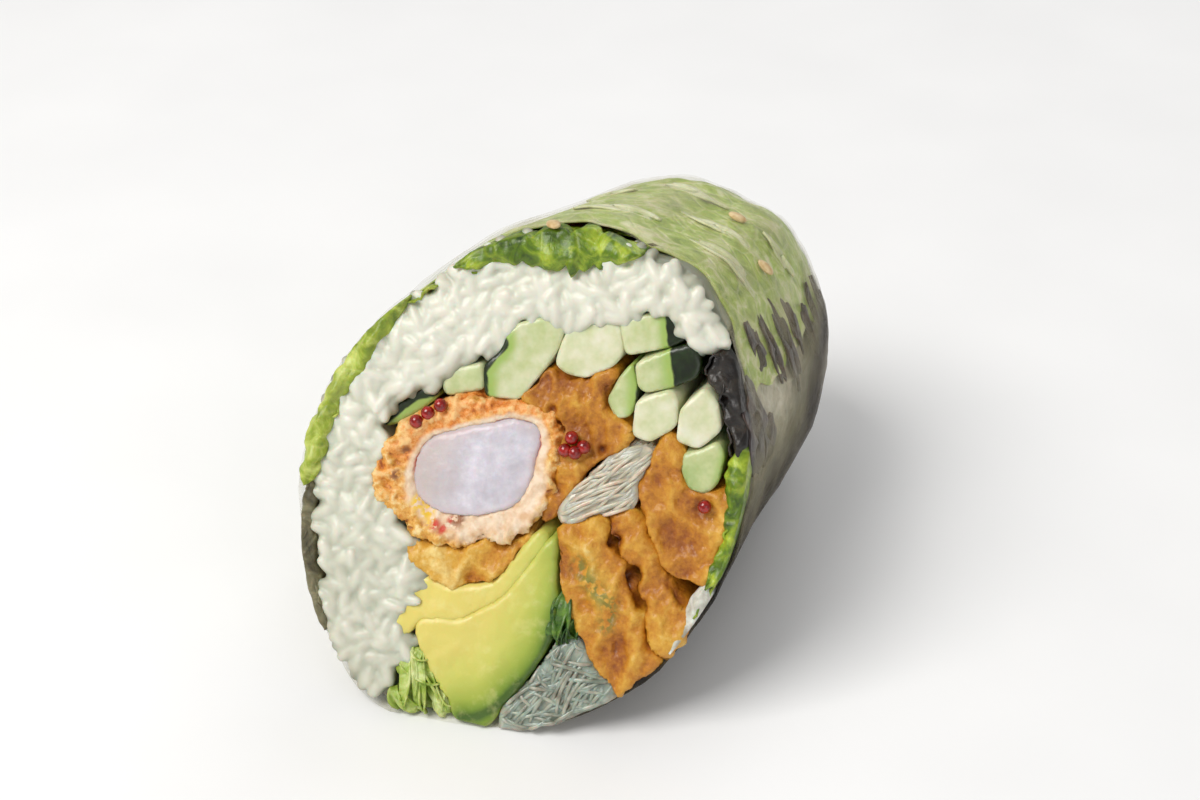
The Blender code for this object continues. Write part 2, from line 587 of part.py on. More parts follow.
def make_film():
    """The rice paper: a thin cup round the fillings, open at the cut and closed behind."""
    mesh = bmesh.new()
    rings = []
    for y_back, size in TAPER_UP[:-1]:
        ring = []
        for i in range(FILM_SIDES):
            angle = math.tau * i / FILM_SIDES
            radius = film_radius(angle)
            x = radius * math.cos(angle)
            w = max(radius * math.sin(angle), -AXIS_HEIGHT)
            if y_back < 0:
                y = cut_depth(x, w) + 0.35 * math.sin(5 * angle + 1) + 0.3
                ring.append(mesh.verts.new(place_film(x, w, y)))
            else:
                corner = place_film(x, w, y_back)
                pleat = PLEAT_DEPTH * max(0, 0.65 - size) * math.sin(PLEATS * angle)
                corner.y += pleat * MM
                ring.append(mesh.verts.new(corner))
        rings.append(ring)
    tip = mesh.verts.new(Vector((0, TAPER_UP[-1][0] - 1, AXIS_HEIGHT * 0.3)) * MM)
    for near, far in zip(rings, rings[1:]):
        for i in range(FILM_SIDES):
            j = (i + 1) % FILM_SIDES
            mesh.faces.new((near[j], near[i], far[i], far[j]))
    for i in range(FILM_SIDES):
        mesh.faces.new((rings[-1][(i + 1) % FILM_SIDES], rings[-1][i], tip))
    bmesh.ops.recalc_face_normals(mesh, faces=mesh.faces)
    data = bpy.data.meshes.new("film")
    mesh.to_mesh(data)
    mesh.free()
    shell = bpy.data.objects.new("film", data)
    bpy.context.scene.collection.objects.link(shell)
    solidify = shell.modifiers.new("thickness", "SOLIDIFY")
    solidify.thickness = FILM_THICKNESS * MM
    solidify.offset = -1
    bpy.context.view_layer.update()
    evaluated = shell.evaluated_get(bpy.context.evaluated_depsgraph_get())
    walls = bpy.data.meshes.new_from_object(evaluated)
    bpy.data.objects.remove(shell)
    seeds = []
    for degrees, y in SEEDS:
        angle = math.radians(degrees)
        radius = film_radius(angle)
        x = radius * math.cos(angle)
        w = radius * math.sin(angle)
        normal = Vector((math.cos(angle), 0.15, math.sin(angle))).normalized()
        turn = normal.to_track_quat("Z", "Y").to_matrix()
        length, width, height = (size / 2 for size in SEED_SIZE)
        seeds.append(ball_mesh(place_film(x, w, y), (width, length, height), turn))
    make_object("rice_paper", fuse(walls, seeds), "film")


def make_fillings():
    """Everything that the roll holds, apart from rice, noodles and leaves."""
    shrimp = smooth_outline(SHRIMP, 2)
    make_object("shrimp", filling_mesh(shrimp, out=0.3, edge=0.5, step=4, crag=0.4), "shrimp")
    middle = sum(shrimp, Vector((0, 0))) / len(shrimp)
    hole = [p + (p - middle).normalized() * 0.5 for p in smooth_outline(SHRIMP, 2)]
    batter = filling_mesh([Vector(p) for p in BATTER], out=0.5, edge=0.7, step=1.5, crag=1.2,
                          hole=hole)
    make_object("tempura_batter", fuse(batter, beads(BATTER_BEADS)), "batter")
    tofu = {
        "fried_tofu_top": (TOFU_TOP, 0.0, TOP_TOFU_BEADS),
        "fried_tofu_under": (TOFU_UNDER, 0.3, ()),
        "fried_tofu_right": (TOFU_RIGHT, 0.4, RIGHT_TOFU_BEADS),
        "fried_tofu_low": (TOFU_LOW, 0.6, ()),
        "fried_tofu_low_right": (TOFU_LOW_RIGHT, 0.0, ()),
    }
    for name, (outline, out, places) in tofu.items():
        outline = grown([Vector(p) for p in outline], 0.12)
        mesh = filling_mesh(outline, out=out, edge=0.8, step=1.9, crag=1.3)
        if places:
            mesh = fuse(mesh, beads(places))
        make_object(name, mesh, "tofu")
    for name, outline, out in (("avocado_front", AVOCADO_FRONT, 0.6),
                               ("avocado_back", AVOCADO_BACK, -0.5)):
        mesh = filling_mesh([Vector(p) for p in outline], out=out, edge=0.6, step=3, crag=0.5)
        make_object(name, mesh, "avocado")
    for number, (outline, out) in enumerate(CUCUMBERS, 1):
        outline = grown([Vector(p) for p in outline], 0.22)
        mesh = filling_mesh(outline, out=out, edge=0.25, step=2.8, crag=0.2)
        make_object(f"cucumber_{number:02d}", mesh, "cucumber")
    herb = filling_mesh([Vector(p) for p in HERB], out=-0.8, edge=0.3)
    make_object("herb", herb, "herb")


def make_spring_onion():
    """Shreds of spring onion pressed together at the bottom."""
    outline = [Vector(p) for p in SPRING_ONION]
    draw = random.Random(RANDOM_SEED)
    base = filling_mesh(outline, out=-0.7, edge=0.3)
    shreds = strands_within(outline, math.radians(-38), 1.3, 0.55, 0.3, draw)
    make_object("spring_onion", fuse(base, shreds), "herb")


def make_leaves():
    """Lettuce and purple leaf between the fillings and the film."""
    make_leaf("lettuce_top", "lettuce", LETTUCE_TOP, 2,
              lambda share: 0.6 + 0.5 * math.sin(share * 19) - 7.5 * ramp(share, 0.4, 0.3),
              0.12, 5)
    make_leaf("lettuce_left", "lettuce", LETTUCE_LEFT, 2,
              lambda share: 0.5 + 0.6 * math.sin(share * 23), 0.1, 4)
    make_leaf("purple_leaf_left", "purple_leaf", PURPLE_LEFT, 3,
              lambda share: 0.2 + 0.5 * math.sin(share * 17), 0.12, 2)
    make_leaf("lettuce_right", "lettuce", LETTUCE_RIGHT, 3,
              lambda share: 0.6 + 0.6 * math.sin(share * 21), 0.15, 3)
    make_leaf("purple_leaf_right", "purple_leaf", PURPLE_RIGHT, 2,
              lambda share: 0.5 + 0.5 * math.sin(share * 27), 0.05, 3)


def centre_on_origin(objects):
    """Move the roll so that the middle of its footprint is the origin."""
    corners = [v.co for obj in objects for v in obj.data.vertices]
    middle_x = (min(c.x for c in corners) + max(c.x for c in corners)) / 2
    middle_y = (min(c.y for c in corners) + max(c.y for c in corners)) / 2
    for obj in objects:
        for vert in obj.data.vertices:
            vert.co -= Vector((middle_x, middle_y, 0))


def main():
    for obj in list(bpy.data.objects):
        bpy.data.objects.remove(obj)
    roll = bpy.data.collections.new("shrimp_tempura_roll")
    bpy.context.scene.collection.children.link(roll)
    make_film()
    make_leaves()
    make_rice()
    make_fillings()
    make_noodles("noodles_middle", NOODLES_MIDDLE, math.radians(38), 1.5)
    make_noodles("noodles_bottom", NOODLES_BOTTOM, math.radians(31), 1.55)
    make_spring_onion()
    centre_on_origin(list(roll.objects))


main()
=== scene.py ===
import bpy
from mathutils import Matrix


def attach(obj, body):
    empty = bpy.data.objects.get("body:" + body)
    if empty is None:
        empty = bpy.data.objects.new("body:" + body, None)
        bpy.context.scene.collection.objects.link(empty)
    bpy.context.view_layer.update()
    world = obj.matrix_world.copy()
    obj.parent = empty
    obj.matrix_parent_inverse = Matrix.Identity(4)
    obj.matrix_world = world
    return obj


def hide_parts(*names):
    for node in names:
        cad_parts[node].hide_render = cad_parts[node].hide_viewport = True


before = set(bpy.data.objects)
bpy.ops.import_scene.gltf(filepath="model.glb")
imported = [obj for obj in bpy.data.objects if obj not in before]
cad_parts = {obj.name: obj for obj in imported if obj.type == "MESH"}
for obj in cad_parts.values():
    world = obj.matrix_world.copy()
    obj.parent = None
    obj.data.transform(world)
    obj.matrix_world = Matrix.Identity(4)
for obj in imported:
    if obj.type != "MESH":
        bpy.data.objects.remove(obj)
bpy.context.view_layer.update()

# Looks of the shrimp tempura roll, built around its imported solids.
# Lengths are millimetres unless a comment says metres, and MM turns them into metres.
# A face point (x, w) lies on the slanted cut: x to the right of the roll's axis, w above it.

import math
import random

import bmesh
import bpy
import numpy as np
from mathutils import Vector, noise
from mathutils.geometry import delaunay_2d_cdt

MM = 0.001

# The roll's shape, with the values that its solids were made from
AXIS_HEIGHT = 30.3
CENTRE_X = -0.636
CENTRE_Y = 28.276
CUT_SLOPE_X = 0.245
CUT_SLOPE_W = 0.62
FILLING_FLOOR = 1.0
FILM_RADII = (30.6, 30.5, 30.2, 31.1, 32.3, 31.4, 32.1, 31.8, 31.3, 30.8, 31.5, 32.0,
              31.8, 30.9, 31.1, 31.8, 32.3, 31.9, 30.6, 31.3, 31.3, 31.6, 31.2, 31.0)
TAPER_LEFT = ((-25, 1.0), (22, 0.95), (35, 0.905), (48, 0.85), (58, 0.78), (66, 0.68),
              (71, 0.58), (74, 0.48), (76.5, 0.335), (78, 0.0))
TAPER_RIGHT = ((-25, 1.0), (2, 0.975), (22, 0.9), (35, 0.875), (48, 0.83), (58, 0.75),
               (66, 0.66), (71, 0.565), (74, 0.465), (76.5, 0.325), (78, 0.0))
TAPER_UP = ((-25, 1.0), (22, 0.905), (35, 0.845), (48, 0.79), (58, 0.755), (66, 0.685),
            (71, 0.585), (74, 0.48), (76.5, 0.335), (78, 0.0))
# Room that the leaves take between the film and the rice, by angle
LEAF_ROOM = ((0, 1.8), (30, 1.8), (38, 0.8), (64, 0.8), (72, 1.2), (170, 1.3), (180, 2.6),
             (212, 2.4), (226, 0.9), (270, 0.5), (330, 0.5), (345, 1.8), (360, 1.8))
# The ring of a solid's corners that its outline is read from: y, and its size there
RING_Y = 48
RING_SHARE = 0.985
# How near that ring a corner has to be, and what corners are rounded to, in metres
RING_TOLERANCE = 4e-6
MICRON = 1e-6
# Rounds of working back from a place to its face point, and steps of a rounded side
FACE_ROUNDS = 12
CURVE_STEPS = 8
# Height of an even-sided triangle against its side
TRIANGLE_HEIGHT = 0.866
# Points nearer than this are one, in mm
SAME_POINT = 1e-4


def taper(table, y):
    """Share of its front size that the roll has at y."""
    return np.interp(y, [row[0] for row in table], [row[1] for row in table])


def cut_depth(x, w):
    """y of the cut face at a face point."""
    return CUT_SLOPE_X * x + CUT_SLOPE_W * w


def growth(x, w, y, share=1.0):
    """Size of a piece at y against its size on the cut face, across and upwards."""
    front = cut_depth(x, w)
    left = taper(TAPER_LEFT, y) / taper(TAPER_LEFT, front)
    right = taper(TAPER_RIGHT, y) / taper(TAPER_RIGHT, front)
    upwards = taper(TAPER_UP, y) / taper(TAPER_UP, front)
    return share * np.where(np.asarray(x) < 0, left, right), share * upwards


def place(x, w, y, floor=FILLING_FLOOR, share=1.0):
    """Face points carried along the roll to y, as rows of scene positions in metres."""
    across, upwards = growth(x, w, y, share)
    height = floor + (w + AXIS_HEIGHT - floor) * upwards
    columns = np.broadcast_arrays(x * across - CENTRE_X, y - CENTRE_Y, height)
    return np.stack(columns, axis=-1) * MM


def on_face(x, w, out=0.0):
    """Places on the cut face, standing out of it."""
    return place(x, w, cut_depth(x, w) - out)


def face_point(places):
    """Face coordinates of scene positions, wherever along the roll they are."""
    X = places[..., 0] / MM + CENTRE_X
    y = places[..., 1] / MM + CENTRE_Y
    Z = places[..., 2] / MM
    x, w = X.copy(), Z - AXIS_HEIGHT
    for _ in range(FACE_ROUNDS):
        across, upwards = growth(x, w, y)
        x = X / across
        w = (Z - FILLING_FLOOR) / upwards + FILLING_FLOOR - AXIS_HEIGHT
    return x, w


def catmull(a, b, c, d, t):
    """Smooth curve from b to c."""
    return 0.5 * (2 * b + (c - a) * t + (2 * a - 5 * b + 4 * c - d) * t * t
                  + (3 * b - a - 3 * c + d) * t ** 3)


def film_radius(angle):
    """Outer radius of the film at an angle in radians."""
    radii = np.array(FILM_RADII)
    position = np.asarray(angle) / math.tau * len(radii)
    i = np.floor(position).astype(int)
    return catmull(*(radii[(i + k) % len(radii)] for k in (-1, 0, 1, 2)), position - i)


# Outlines on the cut face

def read_outlines(node):
    """Loops of face points of a solid, read from its ring of corners, largest first."""
    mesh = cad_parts[node].data
    level = (RING_Y - CENTRE_Y) * MM
    links = {}
    for edge in mesh.edges:
        ends = [mesh.vertices[i].co for i in edge.vertices]
        if max(abs(co.y - level) for co in ends) < RING_TOLERANCE:
            a, b = ((round(co.x / MICRON), round(co.z / MICRON)) for co in ends)
            if a != b:
                links.setdefault(a, set()).add(b)
                links.setdefault(b, set()).add(a)
    loops = []
    left = {corner for corner, ends in links.items() if len(ends) == 2}
    while left:
        loop = [left.pop()]
        step = next((k for k in links[loop[0]] if k in left), None)
        while step:
            left.discard(step)
            loop.append(step)
            step = next((k for k in links[step] if k in left), None)
        places = np.array([(x * MICRON, level, z * MICRON) for x, z in loop])
        places[:, 0] = (places[:, 0] + CENTRE_X * MM) / RING_SHARE - CENTRE_X * MM
        places[:, 2] = (places[:, 2] - FILLING_FLOOR * MM) / RING_SHARE + FILLING_FLOOR * MM
        loops.append(np.stack(face_point(places), axis=-1))
    loops.sort(key=lambda loop: -abs(area(loop)))
    return [loop if area(loop) > 0 else loop[::-1] for loop in loops]


def area(loop):
    """Area inside a loop, negative where it runs clockwise."""
    after = np.roll(loop, -1, axis=0)
    return 0.5 * np.sum(loop[:, 0] * after[:, 1] - after[:, 0] * loop[:, 1])


def even_loop(loop, step, rounded=True):
    """A closed loop with points an even step apart, its corners rounded much or little."""
    count = len(loop)
    fine = loop
    if rounded:
        shares = np.arange(CURVE_STEPS) / CURVE_STEPS
        fine = np.concatenate([[catmull(loop[i - 1], loop[i], loop[(i + 1) % count],
                                        loop[(i + 2) % count], t) for t in shares]
                               for i in range(count)])
    closed = np.vstack([fine, fine[:1]])
    run = np.r_[0, np.cumsum(np.linalg.norm(np.diff(closed, axis=0), axis=1))]
    at = np.linspace(0, run[-1], max(8, int(run[-1] / step)), endpoint=False)
    even = np.stack([np.interp(at, run, closed[:, k]) for k in (0, 1)], axis=-1)
    if not rounded:
        even = 0.5 * even + 0.25 * (np.roll(even, 1, axis=0) + np.roll(even, -1, axis=0))
    return even


def offset_loop(loop, by):
    """A closed loop moved outwards along its normals."""
    run = np.roll(loop, -1, axis=0) - np.roll(loop, 1, axis=0)
    run /= np.linalg.norm(run, axis=1)[:, None]
    return loop + by * np.stack([run[:, 1], -run[:, 0]], axis=-1)


def to_film(loop, reach=3.4, extra=0.0):
    """A loop with its points near the film moved out to lie against it or its leaf."""
    angle = np.arctan2(loop[:, 1], loop[:, 0]) % math.tau
    radius = np.hypot(loop[:, 0], loop[:, 1])
    wall = np.minimum(film_radius(angle), AXIS_HEIGHT / np.maximum(-np.sin(angle), 0.01))
    room = wall - radius - extra - np.interp(np.degrees(angle), *zip(*LEAF_ROOM))
    share = np.clip((reach - room) / (0.4 * reach), 0, 1)
    return loop * (1 + share * room / radius)[:, None]


def even_path(points, step):
    """An open path with rounded corners and points an even step apart."""
    points = np.array(points, float)
    ends = np.vstack([2 * points[0] - points[1], points, 2 * points[-1] - points[-2]])
    shares = np.arange(CURVE_STEPS) / CURVE_STEPS
    fine = np.concatenate([[catmull(*ends[i:i + 4], t) for t in shares]
                           for i in range(len(points) - 1)] + [points[-1:]])
    run = np.r_[0, np.cumsum(np.linalg.norm(np.diff(fine, axis=0), axis=1))]
    at = np.linspace(0, run[-1], max(3, int(run[-1] / step)))
    return np.stack([np.interp(at, run, fine[:, k]) for k in range(points.shape[1])], axis=-1)


def within(points, loop):
    """Which points lie inside a loop."""
    result = np.zeros(len(points), bool)
    for a, b in zip(loop, np.roll(loop, -1, axis=0)):
        crosses = (a[1] > points[:, 1]) != (b[1] > points[:, 1])
        if crosses.any():
            x = a[0] + (b[0] - a[0]) * (points[:, 1] - a[1]) / (b[1] - a[1] + 1e-12)
            result ^= crosses & (points[:, 0] < x)
    return result


def distance_to(points, path, closed=True):
    """Distance from each point to the nearest side of a path."""
    nearest = np.full(len(points), np.inf)
    ends = np.roll(path, -1, axis=0)
    pairs = list(zip(path, ends)) if closed else list(zip(path[:-1], path[1:]))
    for a, b in pairs:
        side = b - a
        share = np.clip((points - a) @ side / max(side @ side, 1e-12), 0, 1)
        gap = np.linalg.norm(points - a - share[:, None] * side, axis=1)
        nearest = np.minimum(nearest, gap)
    return nearest


def hex_grid(loop, step):
    """Points of a triangular grid over a loop's box."""
    low, high = loop.min(0), loop.max(0)
    xs = np.arange(low[0], high[0] + step, step)
    ws = np.arange(low[1], high[1] + step, step * TRIANGLE_HEIGHT)
    grid_x, grid_w = np.meshgrid(xs, ws)
    grid_x = grid_x + 0.5 * step * (np.arange(len(ws)) % 2)[:, None]
    return np.stack([grid_x.ravel(), grid_w.ravel()], axis=-1)


def triangles_over(loops, inner):
    """Triangles over the first loop and outside the others, as point indices."""
    points = np.vstack(loops + ([inner] if len(inner) else []))
    sides = []
    start = 0
    for loop in loops:
        count = len(loop)
        sides += [(start + i, start + (i + 1) % count) for i in range(count)]
        start += count
    result = delaunay_2d_cdt([Vector(p) for p in points], sides, [], 0, SAME_POINT)
    triangles, origins = result[2], result[3]
    index = np.array([o[0] if o else -1 for o in origins])
    triangles = index[np.array([t for t in triangles if len(t) == 3])]
    triangles = triangles[(triangles >= 0).all(axis=1)]
    middles = points[triangles].mean(axis=1)
    keep = within(middles, loops[0])
    for loop in loops[1:]:
        keep &= ~within(middles, loop)
    return triangles[keep]


def noise_at(places, size, seed=0, octaves=1, ridged=False):
    """Noise of a bump size in mm at each place; ridged noise has sharp crests."""
    shift = Vector((seed * 7.13, seed * 3.71, seed * 1.37))
    result = np.zeros(len(places))
    strength = 1.0
    frequency = 1 / (size * MM)
    for _ in range(octaves):
        values = np.array([noise.noise(Vector(p) * frequency + shift) for p in places])
        result += strength * (1 - 2 * np.abs(values) if ridged else values)
        strength *= 0.5
        frequency *= 2.1
    return result


# Meshes and pieces

def mesh_from(name, places, faces, smooth=True):
    mesh = bpy.data.meshes.new(name)
    mesh.from_pydata(np.asarray(places).tolist(), [], [list(map(int, f)) for f in faces])
    mesh.validate()
    if smooth:
        mesh.shade_smooth()
    return mesh


def add_object(name, data):
    obj = bpy.data.objects.new(name, data)
    bpy.context.scene.collection.objects.link(obj)
    return obj


def positions(mesh):
    co = np.empty(len(mesh.vertices) * 3, np.float32)
    mesh.vertices.foreach_get("co", co)
    return co.reshape(-1, 3).astype(float)


def normals(mesh):
    no = np.empty(len(mesh.vertices) * 3, np.float32)
    mesh.vertex_normals.foreach_get("vector", no)
    return no.reshape(-1, 3).astype(float)


def set_positions(mesh, places):
    mesh.vertices.foreach_set("co", np.asarray(places, np.float32).ravel())
    mesh.update()


def set_attribute(mesh, name, values):
    """A number for each corner of the mesh, which its material reads."""
    attribute = mesh.attributes.new(name, "FLOAT", "POINT")
    attribute.data.foreach_set("value", np.asarray(values, np.float32))


def piece(obj, material, nodes):
    """Give a finished object its material, hang it on the root, and hide the solids that it takes
    the place of.
    """
    obj.data.materials.clear()
    obj.data.materials.append(material)
    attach(obj, "root")
    if nodes:
        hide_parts(*nodes)
    return obj


def applied(obj):
    """The object with its modifiers made into a plain mesh."""
    bpy.context.view_layer.update()
    graph = bpy.context.evaluated_depsgraph_get()
    mesh = bpy.data.meshes.new_from_object(obj.evaluated_get(graph))
    obj.modifiers.clear()
    obj.data = mesh
    return obj


# How far behind the cut a filling's fine rings lie, and its coarse ones as shares of the rest
FINE_RINGS = (0.35, 0.8, 1.4, 2.2, 3.4, 5.0, 7.5)
COARSE_RINGS = (0.2, 0.45, 0.75, 1.0)
# Where a filling ends, and its size there
FILLING_END = 66
END_SHARE = 0.95
# Least gap between an outline and the grid inside it, as a share of the grid's step
GRID_GAP = 0.55


def filling(name, loops, out=0.0, edge=0.5, step=0.5, lift=None, rounded=True, end=None):
    """A piece from the cut face back, with a fine face and a rounded rim.

    lift gives how far more each face point stands out, and end is how far behind the cut the
    piece ends, if not near the closed end. The mesh has attributes: front, 1 at the face and
    0 well behind it, and rim, the distance to the outline in mm.
    """
    loops = [even_loop(loop, step, rounded) for loop in loops]
    grid = hex_grid(loops[0], step)
    grid = grid[within(grid, loops[0])]
    for loop in loops:
        grid = grid[distance_to(grid, loop) > GRID_GAP * step]
    for loop in loops[1:]:
        grid = grid[~within(grid, loop)]
    rim = np.vstack(loops)
    face = np.vstack([rim, grid])
    depth = np.min([distance_to(face, loop) for loop in loops], axis=0)
    inward = np.clip(edge - depth, 0, edge)
    stand = out - (edge - np.sqrt(np.maximum(edge ** 2 - inward ** 2, 0)))
    if lift is not None:
        stand = stand + lift(face)
    front = cut_depth(face[:, 0], face[:, 1])
    places = [place(face[:, 0], face[:, 1], front - stand)]
    fronts = [np.ones(len(face))]
    rims = [depth]
    faces = [tuple(t) for t in triangles_over(loops, grid)]
    count = len(rim)
    start = front[:count] - stand[:count]
    if end:
        rings = [start + behind for behind in (*FINE_RINGS, end) if behind <= end]
    else:
        rings = [start + behind for behind in FINE_RINGS]
        rings += [rings[-1] + (FILLING_END - rings[-1]) * share for share in COARSE_RINGS]
    near = np.arange(count)
    total = len(face)
    for number, y in enumerate(rings):
        share = 1 - (1 - END_SHARE) * np.clip((y - start) / (FILLING_END - start), 0, 1)
        places.append(place(rim[:, 0], rim[:, 1], y, share=share))
        fronts.append(np.full(count, max(0, 1 - number / (len(FINE_RINGS) - 1))))
        rims.append(np.zeros(count))
        far = np.arange(total, total + count)
        first = 0
        for loop in loops:
            order = np.arange(first, first + len(loop))
            after = np.roll(order, -1)
            faces += [(near[j], near[i], far[i], far[j]) for i, j in zip(order, after)]
            first += len(loop)
        near = far
        total += count
    faces += [tuple(near[i] for i in reversed(t)) for t in triangles_over(loops, [])]
    mesh = mesh_from(name, np.vstack(places), faces)
    face_outwards(mesh)
    set_attribute(mesh, "front", np.concatenate(fronts))
    set_attribute(mesh, "rim", np.concatenate(rims))
    return mesh


def face_outwards(mesh):
    """Turn a closed mesh's faces outwards."""
    bm = bmesh.new()
    bm.from_mesh(mesh)
    bmesh.ops.recalc_face_normals(bm, faces=bm.faces)
    bm.to_mesh(mesh)
    bm.free()
    mesh.shade_smooth()


def face_points(mesh):
    """Face coordinates of a mesh's corners, a row each."""
    return np.stack(face_point(positions(mesh)), axis=-1)


def band_faces(bands, around):
    """Faces between the rings of corners of a closed tube."""
    return [(i * around + j, i * around + (j + 1) % around,
             (i + 1) * around + (j + 1) % around, (i + 1) * around + j)
            for i in range(bands) for j in range(around)]


def read_attribute(mesh, name):
    values = np.empty(len(mesh.vertices), np.float32)
    mesh.attributes[name].data.foreach_get("value", values)
    return values.astype(float)


def roughen(mesh, relief):
    """Move the mesh along its normals by relief(places) in mm, fading out behind the face.

    The relief is kept as an attribute for the material.
    """
    places = positions(mesh)
    front = read_attribute(mesh, "front")
    height = relief(places) * front
    set_positions(mesh, places + normals(mesh) * (height * MM)[:, None])
    set_attribute(mesh, "relief", height)


# Materials

class Value:
    """A socket of a material's nodes; operators on it add Math nodes."""

    def __init__(self, finish, socket):
        self.finish = finish
        self.socket = socket

    def math(self, operation, *others):
        return self.finish.node("ShaderNodeMath", {"operation": operation}, self, *others)

    def __add__(self, other):
        return self.math("ADD", other)

    def __radd__(self, other):
        return self.math("ADD", other)

    def __mul__(self, other):
        return self.math("MULTIPLY", other)

    def __rmul__(self, other):
        return self.math("MULTIPLY", other)

    def __sub__(self, other):
        return self.math("SUBTRACT", other)

    def __rsub__(self, other):
        return self.finish.node("ShaderNodeMath", {"operation": "SUBTRACT"}, other, self)

    def between(self, low, high):
        """Rises smoothly from 0 at low to 1 at high."""
        return self.finish.node("ShaderNodeMapRange", {"interpolation_type": "SMOOTHSTEP"},
                                self, low, high, 0.0, 1.0)


class Finish:
    """A Principled material that is built up from plain calls."""

    def __init__(self, name, **constants):
        self.material = bpy.data.materials.new(name)
        self.material.use_nodes = True
        self.tree = self.material.node_tree
        self.shader = self.tree.nodes["Principled BSDF"]
        for socket, value in constants.items():
            self.shader.inputs[socket.replace("_", " ")].default_value = value
        self.place = self.node("ShaderNodeTexCoord", {}, output="Object")

    def node(self, kind, settings, *inputs, output=0):
        node = self.tree.nodes.new(kind)
        for key, value in settings.items():
            setattr(node, key, value)
        for i, value in enumerate(inputs):
            self.feed(node.inputs[i], value)
        return Value(self, node.outputs[output])

    def feed(self, socket, value):
        if isinstance(value, Value):
            self.tree.links.new(value.socket, socket)
        elif value is not None:
            socket.default_value = value

    def noise(self, size, detail=2.0, rough=0.5, stretch=None, warp=0.0):
        """Noise with bumps of a size in mm, from 0 to 1."""
        place = self.place
        if stretch:
            place = self.node("ShaderNodeMapping", {}, place, None, None, stretch)
        node = self.tree.nodes.new("ShaderNodeTexNoise")
        for key, value in (("Vector", place), ("Scale", 1 / (size * MM)), ("Detail", detail),
                           ("Roughness", rough), ("Distortion", warp)):
            self.feed(node.inputs[key], value)
        return Value(self, node.outputs["Fac"])

    def cells(self, size, feature="F1"):
        """Distance to the nearest of scattered points, a size in mm apart."""
        node = self.tree.nodes.new("ShaderNodeTexVoronoi")
        node.feature = feature
        self.feed(node.inputs["Vector"], self.place)
        self.feed(node.inputs["Scale"], 1 / (size * MM))
        return Value(self, node.outputs["Distance"])

    def attribute(self, name):
        return self.node("ShaderNodeAttribute", {"attribute_name": name}, output="Fac")

    def ramp(self, value, *stops):
        """Colours at stops (place, sRGB colour of 0 to 255) along a value."""
        node = self.tree.nodes.new("ShaderNodeValToRGB")
        elements = node.color_ramp.elements
        while len(elements) < len(stops):
            elements.new(1.0)
        for element, (at, colour) in zip(elements, stops):
            element.position = at
            element.color = linear(colour)
        self.feed(node.inputs[0], value)
        return Value(self, node.outputs[0])

    def mix(self, factor, a, b):
        node = self.tree.nodes.new("ShaderNodeMix")
        node.data_type = "RGBA"
        self.feed(node.inputs["Factor"], factor)
        for socket, colour in ((node.inputs[6], a), (node.inputs[7], b)):
            self.feed(socket, colour if isinstance(colour, Value) else linear(colour))
        return Value(self, node.outputs[2])

    def colour(self, value):
        self.feed(self.shader.inputs["Base Color"],
                  value if isinstance(value, Value) else linear(value))

    def roughness(self, value):
        self.feed(self.shader.inputs["Roughness"], value)

    def bump(self, height, distance, strength=1.0):
        """Fine relief; distance in mm."""
        node = self.tree.nodes.new("ShaderNodeBump")
        self.feed(node.inputs["Height"], height)
        node.inputs["Distance"].default_value = distance * MM
        node.inputs["Strength"].default_value = strength
        self.tree.links.new(node.outputs[0], self.shader.inputs["Normal"])


def linear(colour):
    """sRGB of 0 to 255 as a linear colour."""
    parts = [c / 255 for c in colour[:3]]
    return (*[c / 12.92 if c <= 0.04045 else ((c + 0.055) / 1.055) ** 2.4 for c in parts], 1)


def rice_finish():
    finish = Finish("boiled_rice", Subsurface_Weight=0.3, Subsurface_Scale=0.0015,
                    Coat_Weight=0.25, Coat_Roughness=0.2)
    # The height attribute is how far the rice stands out; its hollows are painted darker as
    # painted shade, and so is the low left of the rice.
    height = finish.attribute("height") + 0.9 * (finish.noise(2.6, 2.0) - 0.5)
    finish.colour(finish.ramp(height.between(-1.2, 1.1), (0.0, (142, 144, 124)),
                              (0.35, (186, 187, 167)), (0.7, (209, 209, 191)),
                              (1.0, (228, 227, 212))))
    finish.roughness(0.34 + 0.2 * finish.noise(1.2))
    finish.bump(finish.noise(0.8, 3.0), 0.1, 0.5)
    return finish.material


def shrimp_finish():
    finish = Finish("shrimp_meat", Subsurface_Weight=0.35, Subsurface_Scale=0.002,
                    Coat_Weight=0.3, Coat_Roughness=0.15)
    mottle = finish.noise(2.6, 4.0, 0.6)
    inner = finish.ramp(mottle, (0.3, (194, 188, 196)), (0.5, (208, 203, 212)),
                        (0.68, (224, 220, 228)))
    inner = finish.mix(finish.attribute("left") * 0.8, inner, (196, 182, 176))
    edge = 1 - finish.attribute("rim").between(0.1, 1.8)
    finish.colour(finish.mix(edge * 0.6, inner, (204, 186, 190)))
    finish.roughness(0.25 + 0.25 * finish.noise(0.8, 3.0))
    finish.bump(finish.noise(0.6, 4.0, 0.65), 0.12, 0.7)
    return finish.material


